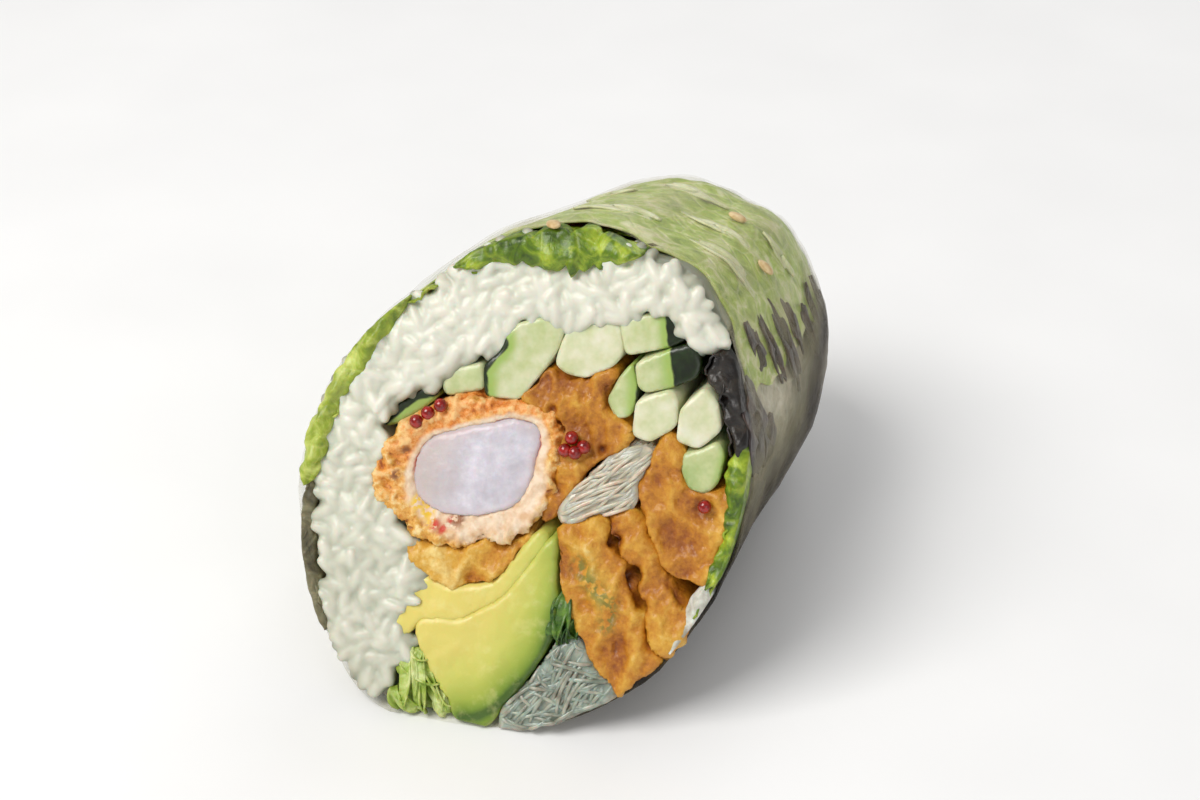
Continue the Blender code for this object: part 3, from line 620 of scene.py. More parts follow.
def batter_finish():
    finish = Finish("tempura_crust", Subsurface_Weight=0.1, Subsurface_Scale=0.001,
                    Coat_Weight=0.2, Coat_Roughness=0.25)
    relief = finish.attribute("relief")
    # The relief term paints the crust's low pits darker, a painted shade.
    fleck = finish.noise(1.0, 4.0, 0.65) + 0.25 * relief
    crust = finish.ramp(fleck, (0.25, (150, 84, 22)), (0.4, (208, 144, 50)),
                        (0.54, (230, 176, 78)), (0.7, (248, 220, 156)))
    orange = finish.ramp(fleck, (0.25, (184, 92, 20)), (0.43, (230, 140, 50)),
                         (0.66, (250, 200, 130)))
    crust = finish.mix(finish.attribute("toasted") * finish.noise(4.0, 2.0).between(0.3, 0.5),
                       crust, orange)
    inner = finish.ramp(finish.noise(1.5, 3.0), (0.3, (226, 186, 144)), (0.6, (244, 222, 194)))
    depth = finish.attribute("inward") + 1.8 * (finish.noise(2.2, 3.0) - 0.5)
    colour = finish.mix(depth.between(1.0, 2.2), inner, crust)
    rim = 1 - finish.attribute("inward").between(0.15, 0.6)
    rim = rim * finish.attribute("toasted").between(0.4, 0.8)
    colour = finish.mix(rim * finish.noise(3.0).between(0.38, 0.5), colour, (190, 52, 24))
    speckle = finish.noise(0.8, 2.0).between(0.38, 0.5)
    for name, tint in (("brown", (150, 92, 50)), ("yellow", (240, 196, 44)),
                       ("red", (206, 52, 28))):
        colour = finish.mix(finish.attribute(name) * speckle, colour, tint)
    finish.colour(colour)
    finish.roughness(0.3 + 0.35 * finish.noise(0.8))
    finish.bump(finish.noise(0.5, 4.0, 0.7), 0.25, 0.8)
    return finish.material


def tofu_finish(pale):
    """Fried tofu, painted darkest in its creases as painted shade; pale is how far it is from the
    darkest piece.
    """
    finish = Finish("fried_tofu", Coat_Weight=0.25, Coat_Roughness=0.16)
    # The relief term paints shade: the tofu's low creases come out darker.
    value = (0.44 + pale + 0.24 * finish.attribute("relief")
             + 0.5 * (finish.noise(6.0, 3.0, 0.6, warp=0.8) - 0.5)
             + 0.5 * (finish.noise(0.8, 4.0, 0.7) - 0.5))
    colour = finish.ramp(value, (0.05, (96, 40, 0)), (0.26, (158, 86, 6)),
                         (0.46, (200, 130, 20)), (0.66, (222, 168, 56)), (0.9, (244, 214, 132)))
    green = finish.attribute("dust") * finish.noise(1.0, 3.0).between(0.42, 0.55)
    finish.colour(finish.mix(green * 0.8, colour, (104, 118, 40)))
    finish.roughness(0.3 + 0.35 * finish.noise(1.0))
    finish.bump(finish.noise(0.5, 5.0, 0.7), 0.3, 0.8)
    return finish.material


def avocado_finish():
    finish = Finish("avocado_flesh", Subsurface_Weight=0.2, Subsurface_Scale=0.0015,
                    Coat_Weight=0.25, Coat_Roughness=0.22)
    inward = finish.attribute("inward") + 1.4 * (finish.noise(5.0, 2.0) - 0.5)
    flesh = finish.ramp(inward * (1 / 15), (0.02, (66, 96, 20)), (0.06, (116, 144, 40)),
                        (0.16, (166, 180, 70)), (0.34, (204, 203, 98)), (0.6, (219, 206, 108)),
                        (1.0, (227, 209, 110)))
    smear = finish.noise(2.6, 4.0, 0.6).between(0.5, 0.78)
    finish.colour(finish.mix(smear * 0.3, flesh, (236, 228, 156)))
    finish.roughness(0.32 + 0.25 * finish.noise(1.5))
    finish.bump(finish.noise(1.2, 4.0, 0.6), 0.15, 0.6)
    return finish.material


def cucumber_finish(green):
    """Cucumber with skin where its attribute is near 0; green is how green its flesh is."""
    finish = Finish("cucumber", Subsurface_Weight=0.25, Subsurface_Scale=0.0015,
                    Coat_Weight=0.25, Coat_Roughness=0.12)
    inward = finish.attribute("skin") + 0.4 * (finish.noise(1.5, 3.0) - 0.5)
    mottle = 0.5 + 0.7 * (finish.noise(3.4, 3.0, 0.6) - 0.5) - 0.4 * green
    flesh = finish.ramp(mottle, (0.1, (158, 180, 110)), (0.32, (196, 204, 150)),
                        (0.5, (220, 220, 186)), (0.68, (234, 232, 212)))
    flesh = finish.mix(1 - inward.between(0.5, 2.2), flesh, (160, 186, 96))
    skin = finish.ramp(finish.noise(1.6, 3.0), (0.35, (12, 22, 1)), (0.65, (28, 46, 8)))
    finish.colour(finish.mix(1 - inward.between(0.1, 0.4), flesh, skin))
    finish.roughness(0.24 + 0.2 * finish.noise(1.0))
    finish.bump(finish.noise(0.9, 3.0), 0.08, 0.6)
    return finish.material


def lettuce_finish(name, dark, mid, light):
    """Leaf with pale veins; its colours are sRGB of 0 to 255."""
    finish = Finish(name, Subsurface_Weight=0.15, Subsurface_Scale=0.001,
                    Coat_Weight=0.1, Coat_Roughness=0.2)
    colour = finish.ramp(finish.noise(3.2, 4.0, 0.6, warp=0.6), (0.3, dark), (0.5, mid),
                         (0.68, light))
    veins = 1 - finish.cells(4.6, "DISTANCE_TO_EDGE").between(0.0, 0.09)
    finish.colour(finish.mix(veins * 0.3, colour, light))
    finish.roughness(0.3 + 0.2 * finish.noise(1.4))
    finish.bump(finish.noise(1.4, 3.0, 0.6, warp=0.6) - 0.3 * veins, 0.3, 0.8)
    return finish.material


def noodle_finish(name, dark, light):
    finish = Finish(name, Subsurface_Weight=0.4, Subsurface_Scale=0.002,
                    Coat_Weight=0.5, Coat_Roughness=0.1, Roughness=0.22)
    finish.colour(finish.ramp(finish.noise(1.8, 3.0), (0.3, dark), (0.68, light)))
    finish.bump(finish.noise(0.8), 0.05, 0.5)
    return finish.material


def film_finish():
    finish = Finish("wet_rice_paper", IOR=1.08, Coat_Weight=0.06, Coat_Roughness=0.14)
    cloud = finish.noise(7.0, 3.0, 0.55, stretch=(1, 0.45, 1))
    # shade is painted shade: where it is high, the film is painted brown and made less clear, low
    # at the right and behind.
    shade = finish.attribute("shade") + 0.8 * (finish.noise(8.0, 4.0, 0.6) - 0.5)
    shade = shade.between(0.1, 1.0)
    clear = finish.ramp(cloud, (0.3, (190, 181, 144)), (0.55, (214, 208, 176)),
                        (0.8, (234, 230, 206)))
    brown = finish.ramp(cloud, (0.3, (32, 26, 15)), (0.55, (64, 55, 37)), (0.8, (112, 100, 76)))
    finish.colour(finish.mix(shade, clear, brown))
    finish.feed(finish.shader.inputs["Alpha"],
                0.07 + 0.16 * finish.noise(6.0, 3.0).between(0.38, 0.75) + 0.58 * shade
                + 0.7 * finish.attribute("folded"))
    finish.roughness(0.28 + 0.2 * finish.noise(3.0))
    finish.bump(finish.noise(2.6, 3.0, 0.55, stretch=(1, 0.5, 1)), 0.3, 0.55)
    return finish.material


def roe_finish():
    finish = Finish("red_roe", Subsurface_Weight=0.3, Subsurface_Scale=0.001,
                    Coat_Weight=0.5, Coat_Roughness=0.05, Roughness=0.2)
    finish.colour(finish.ramp(finish.noise(0.9), (0.35, (112, 6, 2)), (0.65, (170, 24, 12))))
    return finish.material


def sesame_finish():
    finish = Finish("sesame", Roughness=0.4)
    finish.colour(finish.ramp(finish.noise(0.9, 3.0), (0.3, (196, 160, 104)),
                              (0.7, (232, 208, 160))))
    finish.bump(finish.noise(0.3), 0.05)
    return finish.material


# Geometry Nodes

# Most scattered points to a square metre, before the spacing thins them
MOST_POINTS = 4e6
STRAND_SIDES = 8
NOODLE_RADIUS = 0.3


class Tree:
    """A Geometry Nodes tree with named inputs."""

    def __init__(self, name):
        self.group = bpy.data.node_groups.new(name, "GeometryNodeTree")
        self.group.interface.new_socket("Geometry", in_out="INPUT",
                                        socket_type="NodeSocketGeometry")
        self.group.interface.new_socket("Geometry", in_out="OUTPUT",
                                        socket_type="NodeSocketGeometry")
        self.inputs = self.group.nodes.new("NodeGroupInput")
        self.outputs = self.group.nodes.new("NodeGroupOutput")

    def input(self, name, kind):
        self.group.interface.new_socket(name, in_out="INPUT", socket_type="NodeSocket" + kind)
        return self.inputs.outputs[name]

    def node(self, kind, settings=None, **inputs):
        node = self.group.nodes.new(kind)
        for key, value in (settings or {}).items():
            setattr(node, key, value)
        for key, value in inputs.items():
            socket = node.inputs[key.replace("_", " ")]
            if isinstance(value, bpy.types.NodeSocket):
                self.group.links.new(value, socket)
            else:
                socket.default_value = value
        return node.outputs

    def finish(self, geometry, material):
        realized = self.node("GeometryNodeRealizeInstances", Geometry=geometry)["Geometry"]
        painted = self.node("GeometryNodeSetMaterial", Geometry=realized, Material=material)
        self.group.links.new(painted["Geometry"], self.outputs.inputs["Geometry"])
        return self.group


def run_tree(obj, group, **values):
    """Run a tree on an object and keep its result as a plain mesh."""
    modifier = obj.modifiers.new("nodes", "NODES")
    modifier.node_group = group
    for item in group.interface.items_tree:
        name = item.name.replace(" ", "_")
        if item.in_out == "INPUT" and name in values:
            modifier[item.identifier] = values[name]
    return applied(obj)


def scatter_tree():
    """Pieces scattered over a surface, lying along it with a random turn, tilt and size."""
    tree = Tree("scatter_pieces")
    surface = tree.inputs.outputs["Geometry"]
    spacing = tree.input("Spacing", "Float")
    seed = tree.input("Seed", "Int")
    kind = tree.input("Piece", "Object")
    least_turn = tree.input("Least turn", "Vector")
    most_turn = tree.input("Most turn", "Vector")
    least_size = tree.input("Least size", "Vector")
    most_size = tree.input("Most size", "Vector")
    material = tree.input("Material", "Material")
    points = tree.node("GeometryNodeDistributePointsOnFaces", {"distribute_method": "POISSON"},
                       Mesh=surface, Distance_Min=spacing, Density_Max=MOST_POINTS, Seed=seed)
    shape = tree.node("GeometryNodeObjectInfo", Object=kind)["Geometry"]
    turn = tree.node("FunctionNodeRandomValue", {"data_type": "FLOAT_VECTOR"},
                     Min=least_turn, Max=most_turn, Seed=seed)["Value"]
    size = tree.node("FunctionNodeRandomValue", {"data_type": "FLOAT_VECTOR"},
                     Min=least_size, Max=most_size, Seed=seed)["Value"]
    rotation = tree.node("FunctionNodeRotateRotation", {"rotation_space": "LOCAL"},
                         Rotation=points["Rotation"], Rotate_By=turn)["Rotation"]
    placed = tree.node("GeometryNodeInstanceOnPoints", Points=points["Points"], Instance=shape,
                       Rotation=rotation, Scale=size)["Instances"]
    return tree.finish(placed, material)


def strand_tree():
    """Round strands along the edges of a wire mesh."""
    tree = Tree("round_strands")
    wires = tree.inputs.outputs["Geometry"]
    radius = tree.input("Radius", "Float")
    material = tree.input("Material", "Material")
    curves = tree.node("GeometryNodeMeshToCurve", Mesh=wires)["Curve"]
    ring = tree.node("GeometryNodeCurvePrimitiveCircle", Resolution=STRAND_SIDES, Radius=radius)
    tubes = tree.node("GeometryNodeCurveToMesh", Curve=curves, Profile_Curve=ring["Curve"],
                      Fill_Caps=True)["Mesh"]
    return tree.finish(tubes, material)


def joined(name, objects):
    """Several objects made one, which takes their place."""
    bm = bmesh.new()
    for obj in objects:
        bm.from_mesh(obj.data)
    mesh = bpy.data.meshes.new(name)
    bm.to_mesh(mesh)
    bm.free()
    for obj in objects:
        bpy.data.objects.remove(obj)
    mesh.shade_smooth()
    return add_object(name, mesh)


# Rice

GRAIN_LENGTH = 5.4
GRAIN_WIDTH = 2.4
GRAIN_SPACING = 1.7
LAYER_DEPTHS = (-0.45, -0.8, -1.2)
RICE_BED_DEPTH = 5.0
RICE_VOXEL = 0.243
RICE_GROWTH = 0.5
# How far from the film the rice still reaches it, by angle in degrees
RICE_REACH = ((55, 80), (3.2, 6.3))
# Sides and rings of a grain, how blunt its ends are and how flat it is
GRAIN_SIDES = 12
GRAIN_RINGS = 9
GRAIN_BLUNTNESS = 0.7
GRAIN_FLATNESS = 0.9
# Mounds all over the rice, and its swelling at the top right: height, middle and spread
MOUND_HEIGHT = 0.4
MOUND_SCALE = 0.16
SWELL_HEIGHT = 1.5
SWELL_MIDDLE = (14, 25)
SWELL_SPREAD = 60


def grain_mesh():
    """A boiled grain of rice along X: plump, with blunt ends."""
    places = []
    for i in range(GRAIN_RINGS + 1):
        t = math.pi * i / GRAIN_RINGS
        along = -math.cos(t) * GRAIN_LENGTH / 2
        radius = GRAIN_WIDTH / 2 * math.sin(t) ** GRAIN_BLUNTNESS
        for j in range(GRAIN_SIDES):
            a = math.tau * j / GRAIN_SIDES
            places.append((along, radius * math.cos(a), GRAIN_FLATNESS * radius * math.sin(a)))
    faces = band_faces(GRAIN_RINGS, GRAIN_SIDES)
    mesh = mesh_from("grain", np.array(places) * MM, faces)
    bm = bmesh.new()
    bm.from_mesh(mesh)
    bmesh.ops.remove_doubles(bm, verts=bm.verts, dist=0.01 * MM)
    bm.to_mesh(mesh)
    bm.free()
    face_outwards(mesh)
    return mesh


def rice_lift(face):
    """The bed of rice is mounded, and swells out at the top right."""
    mound = np.array([noise.noise(Vector((x * MOUND_SCALE, w * MOUND_SCALE, 4.2)))
                      for x, w in face])
    away = (face[:, 0] - SWELL_MIDDLE[0]) ** 2 + (face[:, 1] - SWELL_MIDDLE[1]) ** 2
    return MOUND_HEIGHT * mound + SWELL_HEIGHT * np.exp(-away / SWELL_SPREAD)


def surface_over(loop, step, out):
    """An open surface over a loop of face points."""
    loop = even_loop(loop, step)
    grid = hex_grid(loop, step)
    grid = grid[within(grid, loop)]
    grid = grid[distance_to(grid, loop) > 0.5 * step]
    triangles = triangles_over([loop], grid)
    triangles = triangles[(triangles >= len(loop)).all(axis=1)] - len(loop)
    stand = out + rice_lift(grid)
    places = place(grid[:, 0], grid[:, 1], cut_depth(grid[:, 0], grid[:, 1]) - stand)
    return mesh_from("surface", places, triangles)


def make_rice(scatter):
    """Grains melted into a soft bed behind the cut, and a plain core behind that."""
    outline = offset_loop(even_loop(read_outlines("rice")[0], 0.8), RICE_GROWTH)
    around = np.degrees(np.arctan2(outline[:, 1], outline[:, 0])) % 360
    outline = to_film(outline, np.interp(around, *RICE_REACH))
    bed = filling("bed", [outline], out=-1.0, edge=0.5, step=0.9, lift=rice_lift,
                  end=RICE_BED_DEPTH)
    roughen(bed, lambda places: 0.3 * noise_at(places, 2.0, seed=3))
    parts = [add_object("bed", bed)]
    grain = add_object("grain", grain_mesh())
    finish = rice_finish()
    for number, depth in enumerate(LAYER_DEPTHS):
        surface = add_object("layer", surface_over(to_film(outline, 3.0, 0.55), 0.45, depth))
        parts.append(run_tree(surface, scatter, Spacing=GRAIN_SPACING * MM, Seed=11 + number,
                              Piece=grain, Least_turn=(-0.35, -0.35, 0),
                              Most_turn=(0.35, 0.35, math.tau), Least_size=(0.75, 0.8, 0.8),
                              Most_size=(1.1, 1.1, 1.1), Material=finish))
    bpy.data.objects.remove(grain)
    rice = joined("rice_grains", parts)
    melt = rice.modifiers.new("melt", "REMESH")
    melt.mode = "VOXEL"
    melt.voxel_size = RICE_VOXEL * MM
    soften = rice.modifiers.new("soften", "SMOOTH")
    soften.factor = 0.5
    soften.iterations = 2
    applied(rice)
    rice.data.shade_smooth()
    places = positions(rice.data)
    face = face_points(rice.data)
    # Painted shade: height paints the rice darker in its hollows, and shade paints it darker still
    # towards the low left.
    height = cut_depth(*face.T) - (places[:, 1] / MM + CENTRE_Y) - rice_lift(face)
    shade = np.clip((5 - 0.5 * face[:, 0] - face[:, 1]) / 30, 0, 1)
    set_attribute(rice.data, "height", height - 0.5 * shade)
    piece(rice, finish, ["rice"])
    core = filling("rice_core", [outline], out=-5, edge=0.5, step=2.5, lift=rice_lift)
    piece(add_object("rice_core", core), finish, ["rice"])


# Fillings

def outline_of(node, grow=0.35):
    """A filling's outline, grown to touch its neighbours and moved out to a near film."""
    return to_film(offset_loop(even_loop(read_outlines(node)[0], 0.5), grow), 2.6)


# How far the shrimp's middle stands out, and how fast it falls off towards its edge
DOME_HEIGHT = 0.9
DOME_FALL = 0.016


def make_shrimp():
    loop = outline_of("shrimp", 0.45)
    middle = loop.mean(axis=0)

    def dome(face):
        return DOME_HEIGHT - DOME_FALL * np.sum((face - middle) ** 2, axis=1)

    mesh = filling("shrimp_meat", [loop], out=0.3, edge=0.7, step=0.4, lift=dome)
    set_attribute(mesh, "left", np.clip((-7 - face_points(mesh)[:, 0]) / 6, 0, 1))
    roughen(mesh, lambda places: 0.16 * noise_at(places, 2.6, seed=5, octaves=3)
            + 0.06 * noise_at(places, 0.8, seed=6))
    piece(add_object("shrimp_meat", mesh), shrimp_finish(), ["shrimp"])


# Coloured crumbs in the crust, low at the left: face point, size in mm
YELLOW_SPOTS = ((-13.6, -3.6, 1.1), (-12.0, -4.6, 1.0), (-11.2, -5.6, 0.7), (6.5, 0.5, 0.5))
RED_SPOTS = ((-10.5, -5.9, 0.7), (-9.3, -6.3, 0.6), (-13.6, -2.0, 0.4), (-9.0, 4.6, 0.5),
             (-5.5, 7.0, 0.6), (-1.5, 7.4, 0.5), (-8.6, -5.2, 0.4))
BROWN_SPOTS = ((-7.6, -4.9, 1.1), (-17.6, -0.5, 0.7), (-17.0, 2.6, 0.6), (5.9, -1.6, 0.5))


def spots(face, places):
    """How much of a spot lies at each face point, from 0 to 1."""
    return np.max([np.exp(-(((face - (x, w)) ** 2).sum(axis=1) / size ** 2) ** 2)
                   for x, w, size in places], axis=0)


def make_batter():
    outer = outline_of("tempura_batter", 0.4)
    inner = offset_loop(even_loop(read_outlines("shrimp")[0], 0.5), 0.1)
    middle = inner.mean(axis=0)

    def curl(face):
        return 0.5 * np.clip(distance_to(face, inner) / 2.5, 0, 1) ** 2

    mesh = filling("tempura_crust", [outer, inner], out=0.3, edge=0.7, step=0.32, lift=curl)
    face = face_points(mesh)
    inward = distance_to(face, inner)
    angle = np.arctan2(face[:, 1] - middle[1], face[:, 0] - middle[0])
    set_attribute(mesh, "inward", inward * (1.15 - 0.75 * np.cos(angle + 0.9)))
    set_attribute(mesh, "toasted", np.clip(0.55 + 0.8 * np.sin(angle - 0.25), 0, 1))
    set_attribute(mesh, "yellow", spots(face, YELLOW_SPOTS))
    set_attribute(mesh, "red", spots(face, RED_SPOTS))
    set_attribute(mesh, "brown", spots(face, BROWN_SPOTS))
    strength = 0.2 + 0.5 * np.clip(inward - 1.2, 0, 1.2)

    def crags(places):
        flakes = noise_at(places, 2.6, seed=8, octaves=4, ridged=True) - 0.9
        pits = np.clip(noise_at(places, 1.5, seed=18) - 0.2, 0, 1)
        return strength * (flakes - 1.6 * pits) + 0.16 * noise_at(places, 0.8, seed=9)

    roughen(mesh, crags)
    piece(add_object("tempura_crust", mesh), batter_finish(), ["tempura_batter"])


# Fried tofu: how far each piece stands out, and how much paler than the darkest it is
TOFU = {"fried_tofu_top": (0.0, 0.0), "fried_tofu_under": (0.3, 0.2),
        "fried_tofu_right": (0.4, 0.03), "fried_tofu_low": (0.5, 0.05),
        "fried_tofu_low_right": (0.3, -0.03)}
# Holes torn in the tofu: face point, radius and depth
TOFU_HOLES = ((14.4, -4.9, 0.7, 1.6), (18.2, -8.8, 1.0, 2.2), (20.2, -12.3, 0.7, 1.6),
              (9.4, 5.6, 0.6, 1.2), (1.5, 9.6, 0.6, 1.2))
HERB_DUST = ((10.4, -8.2), (12.2, -9.8), (13.8, -11.2), (15.9, -12.4), (16.2, -15))


def make_tofu():
    dust = even_path(HERB_DUST, 0.5)
    for seed, (node, (out, pale)) in enumerate(TOFU.items()):
        mesh = filling(node + "_crumb", [outline_of(node, 0.4)], out=out, edge=0.7, step=0.32)
        face = face_points(mesh)
        holes = sum(depth * np.exp(-((face - (x, w)) ** 2).sum(axis=1) / radius ** 2)
                    for x, w, radius, depth in TOFU_HOLES)

        def crags(places):
            folds = noise_at(places * (1, 1, 0.5), 5.0, seed=seed + 20, octaves=3)
            creases = noise_at(places * (1, 1, 0.6), 4.4, seed=seed + 30, octaves=4,
                               ridged=True) - 1
            crumb = noise_at(places, 0.9, seed=seed + 40, octaves=2)
            return 0.8 * folds + 0.7 * creases + 0.14 * crumb - holes

        set_attribute(mesh, "dust", np.exp(-(distance_to(face, dust, closed=False) / 1.1) ** 2))
        roughen(mesh, crags)
        piece(add_object(node + "_crumb", mesh), tofu_finish(pale), [node])


AVOCADO_SKIN = ((8.4, -4.2), (9.4, -9.5), (9.6, -13), (9.0, -17), (7.8, -21.2), (6.0, -24.4),
                (4.2, -26.8), (2.0, -28.4), (-0.5, -29.0))


def make_avocado():
    finish = avocado_finish()
    skin = even_path(AVOCADO_SKIN, 0.4)
    for node, out, edge, grow in (("avocado_front", 0.4, 0.6, 0.4),
                                  ("avocado_back", 0.1, 0.5, 0.7)):
        mesh = filling(node + "_slice", [outline_of(node, grow)], out=out, edge=edge, step=0.45)
        set_attribute(mesh, "inward", distance_to(face_points(mesh), skin, closed=False))
        roughen(mesh, lambda places: 0.3 * noise_at(places, 5.0, seed=51, octaves=3)
                + 0.08 * noise_at(places, 1.0, seed=52))
        piece(add_object(node + "_slice", mesh), finish, [node])


# Cucumber: how far each stick stands out, and how green its flesh is
CUCUMBERS = ((-1.2, 0.9), (-0.5, 0.35), (0.3, 0.25), (0.0, 0.05), (0.5, 0.3), (0.7, 0.45),
             (-0.2, 0.5), (0.7, 0.15), (0.9, 0.1), (0.5, 0.65))
# Where their dark skin shows on the cut, as closed outlines
SKINS = {
    1: ((-21.9, 4.2), (-20.6, 7.2), (-17.4, 9.8), (-15.0, 10.1), (-15.2, 9.2), (-17.8, 8.4),
        (-20, 6.3)),
    3: ((-8.3, 10.0), (-9.5, 13.3), (-8.2, 16.0), (-7.0, 17.4), (-6.7, 16.6), (-8, 14.8),
        (-8.7, 13.2), (-7.7, 10.3)),
    5: ((13.3, 23.6), (15.1, 19.0), (19.5, 19.0), (17, 25)),
    6: ((15.4, 18.9), (17.6, 13.8), (22, 15), (19, 20.5)),
    7: ((10.4, 17.2), (12.1, 14.0), (12.6, 10.6), (13.4, 11), (12.6, 15.6), (11, 17.6)),
    10: ((26.6, 8), (26.9, 3.6), (28, 3.6), (28, 8)),
}
NO_SKIN = 9.0


def region_distance(points, outline):
    """Distance to a closed outline, or 0 inside it."""
    outline = np.array(outline, float)
    return np.where(within(points, outline), 0, distance_to(points, outline))


def make_cucumbers():
    draw = random.Random(6)
    for number, (out, green) in enumerate(CUCUMBERS, 1):
        node = f"cucumber_{number:02d}"
        corners = read_outlines(node)[0]
        middle = corners.mean(axis=0)
        slope = np.array([draw.uniform(-0.07, 0.07), draw.uniform(-0.07, 0.07)])
        loop = offset_loop(even_loop(corners, 0.42, rounded=False), 0.2)
        mesh = filling(node + "_stick", [loop], out=out, edge=0.22, step=0.42, rounded=False,
                       lift=lambda face: (face - middle) @ slope)
        face = face_points(mesh)
        skin = np.full(len(face), NO_SKIN)
        if number in SKINS:
            skin = region_distance(face, SKINS[number])
        set_attribute(mesh, "skin", skin)
        roughen(mesh, lambda places: 0.07 * noise_at(places, 2.5, seed=60 + number, octaves=3))
        piece(add_object(node + "_stick", mesh), cucumber_finish(green), [node])


# Strands and shreds

STRAND_STEP = 0.45
SHRED_THICKNESS = 0.25


def wire_mesh(paths):
    """Paths of places as a mesh of edges alone."""
    mesh = bpy.data.meshes.new("wires")
    edges = []
    start = 0
    for path in paths:
        edges += [(start + i, start + i + 1) for i in range(len(path) - 1)]
        start += len(path)
    mesh.from_pydata(np.vstack(paths).tolist(), edges, [])
    return mesh


def strands_over(loop, direction, spacing, layers, draw, spread=0.14, wave=0.4):
    """Wavy strands that lie over a face outline in several layers, as paths of places.

    spread is how far they turn from the direction, in radians, and wave how far they swing.
    """
    paths = []
    middle = loop.mean(axis=0)
    far = np.linalg.norm(loop - middle, axis=1).max()
    for layer in range(layers):
        for i in range(-int(far / spacing), int(far / spacing) + 1):
            angle = direction + draw.uniform(-spread, spread)
            along = np.array([math.cos(angle), math.sin(angle)])
            side = np.array([-along[1], along[0]])
            phase = draw.uniform(0, math.tau)
            level = 0.3 - 0.25 * layer + draw.uniform(-0.2, 0.2)
            t = np.arange(-far, far, STRAND_STEP)
            offset = (i + draw.uniform(-0.4, 0.4)) * spacing + wave * np.sin(0.5 * t + phase)
            points = middle + t[:, None] * along + offset[:, None] * side
            keep = within(points, loop)
            for run in np.split(np.arange(len(t)), np.nonzero(np.diff(keep.astype(int)))[0] + 1):
                if keep[run[0]] and len(run) > 5:
                    x, w = points[run].T
                    to_end = np.minimum(np.arange(len(run)), np.arange(len(run))[::-1])
                    dip = 1.2 * np.exp(-to_end / 1.2)
                    out = level + 0.6 * wave * np.sin(0.7 * t[run] + phase) - dip
                    paths.append(place(x, w, cut_depth(x, w) - out))
    return paths


def make_noodles(node, name, finish, direction, spread, strand, seed):
    """Round noodles over a core."""
    loop = outline_of(node, 0.4)
    core = filling("core", [loop], out=0.15, edge=0.4, step=0.7)
    roughen(core, lambda places: 0.15 * noise_at(places, 1.5, seed=seed))
    wires = add_object("wires", wire_mesh(strands_over(loop, direction, 0.5, 5,
                                                       random.Random(seed), spread, 0.5)))
    run_tree(wires, strand, Radius=NOODLE_RADIUS * MM, Material=finish)
    piece(joined(name, [add_object("core", core), wires]), finish, [node])


def ribbons(name, paths, width, draw):
    """Leaf shreds: a thin curled strip along each path."""
    across = np.linspace(-0.5, 0.5, 5)
    places = []
    faces = []
    for path in paths:
        along = np.gradient(path, axis=0)
        along /= np.linalg.norm(along, axis=1)[:, None]
        turn = draw.uniform(-0.7, 0.7) + np.linspace(0, draw.uniform(-1.5, 1.5), len(path))
        side = np.cross(along, (0.1, -0.8, 0.5))
        side /= np.linalg.norm(side, axis=1)[:, None]
        lift = np.cross(side, along)
        side = side * np.cos(turn)[:, None] + lift * np.sin(turn)[:, None]
        lift = np.cross(side, along)
        size = width * np.sin(np.linspace(0.25, math.pi - 0.25, len(path))) ** 0.5
        start = len(places) * len(across)
        for p, s, n, wide in zip(path, side, lift, size):
            places.append(p + MM * wide * (across[:, None] * s + (across[:, None] ** 2) * n))
        faces += [(start + i * 5 + j, start + i * 5 + j + 1, start + i * 5 + j + 6,
                   start + i * 5 + j + 5) for i in range(len(path) - 1) for j in range(4)]
    return thickened(add_object(name, mesh_from(name, np.vstack(places), faces)),
                     SHRED_THICKNESS)


def thickened(obj, thickness, offset=0):
    solidify = obj.modifiers.new("thickness", "SOLIDIFY")
    solidify.thickness = thickness * MM
    solidify.offset = offset
    return applied(obj)


def make_shreds(node, name, finish, direction, width, spacing, seed):
    """Curled shreds of leaf over a lumpy core."""
    draw = random.Random(seed)
    loop = outline_of(node, 0.9)
    core = filling("core", [loop], out=-1.4, edge=0.5, step=0.6)
    roughen(core, lambda places: 0.5 * noise_at(places, 2.0, seed=seed, octaves=2))
    paths = strands_over(loop, direction, spacing, 3, draw, spread=0.7, wave=0.7)
    shreds = ribbons("shreds", paths, width, draw)
    piece(joined(name, [add_object("core", core), shreds]), finish, [node])


# Leaves

# Edges that show on the cut, as paths of face points
LETTUCE_TOP = ((18.4, 23), (13.2, 27), (7.4, 28.8), (1.6, 29.8), (-4, 30.1), (-9.4, 28.8),
               (-13.8, 26), (-15.6, 24.8), (-14.4, 24.4), (-10.2, 27.2), (-5, 28.6),
               (0.6, 28.4), (4.8, 28.3))
LETTUCE_LEFT = ((-17.6, 23.5), (-20.6, 20.9), (-23.6, 18), (-26.6, 14.2), (-28.8, 9.6),
                (-29.9, 4.8), (-30.1, 1.4), (-28.9, 1.2), (-28.6, 4.8), (-27.6, 8.8))
PURPLE_LEFT = ((-30, -0.2), (-29.5, -4.4), (-28.3, -9.2), (-26.6, -13), (-24.4, -16.8),
               (-21.9, -20.4))
LETTUCE_RIGHT = ((28.2, 5.2), (28.8, 2.8), (29.2, -1), (29.1, -5), (28.5, -8.8), (27.4, -12.2))
PURPLE_RIGHT = ((22.2, 17), (21.3, 17.1), (21.2, 18), (22, 18.5), (22.9, 17.8), (23.1, 16),
                (24, 13.2), (25.3, 10.8), (26.4, 8.4), (27.4, 6.8), (28.1, 7.4),
                (26.8, 10.9), (25, 13.8))
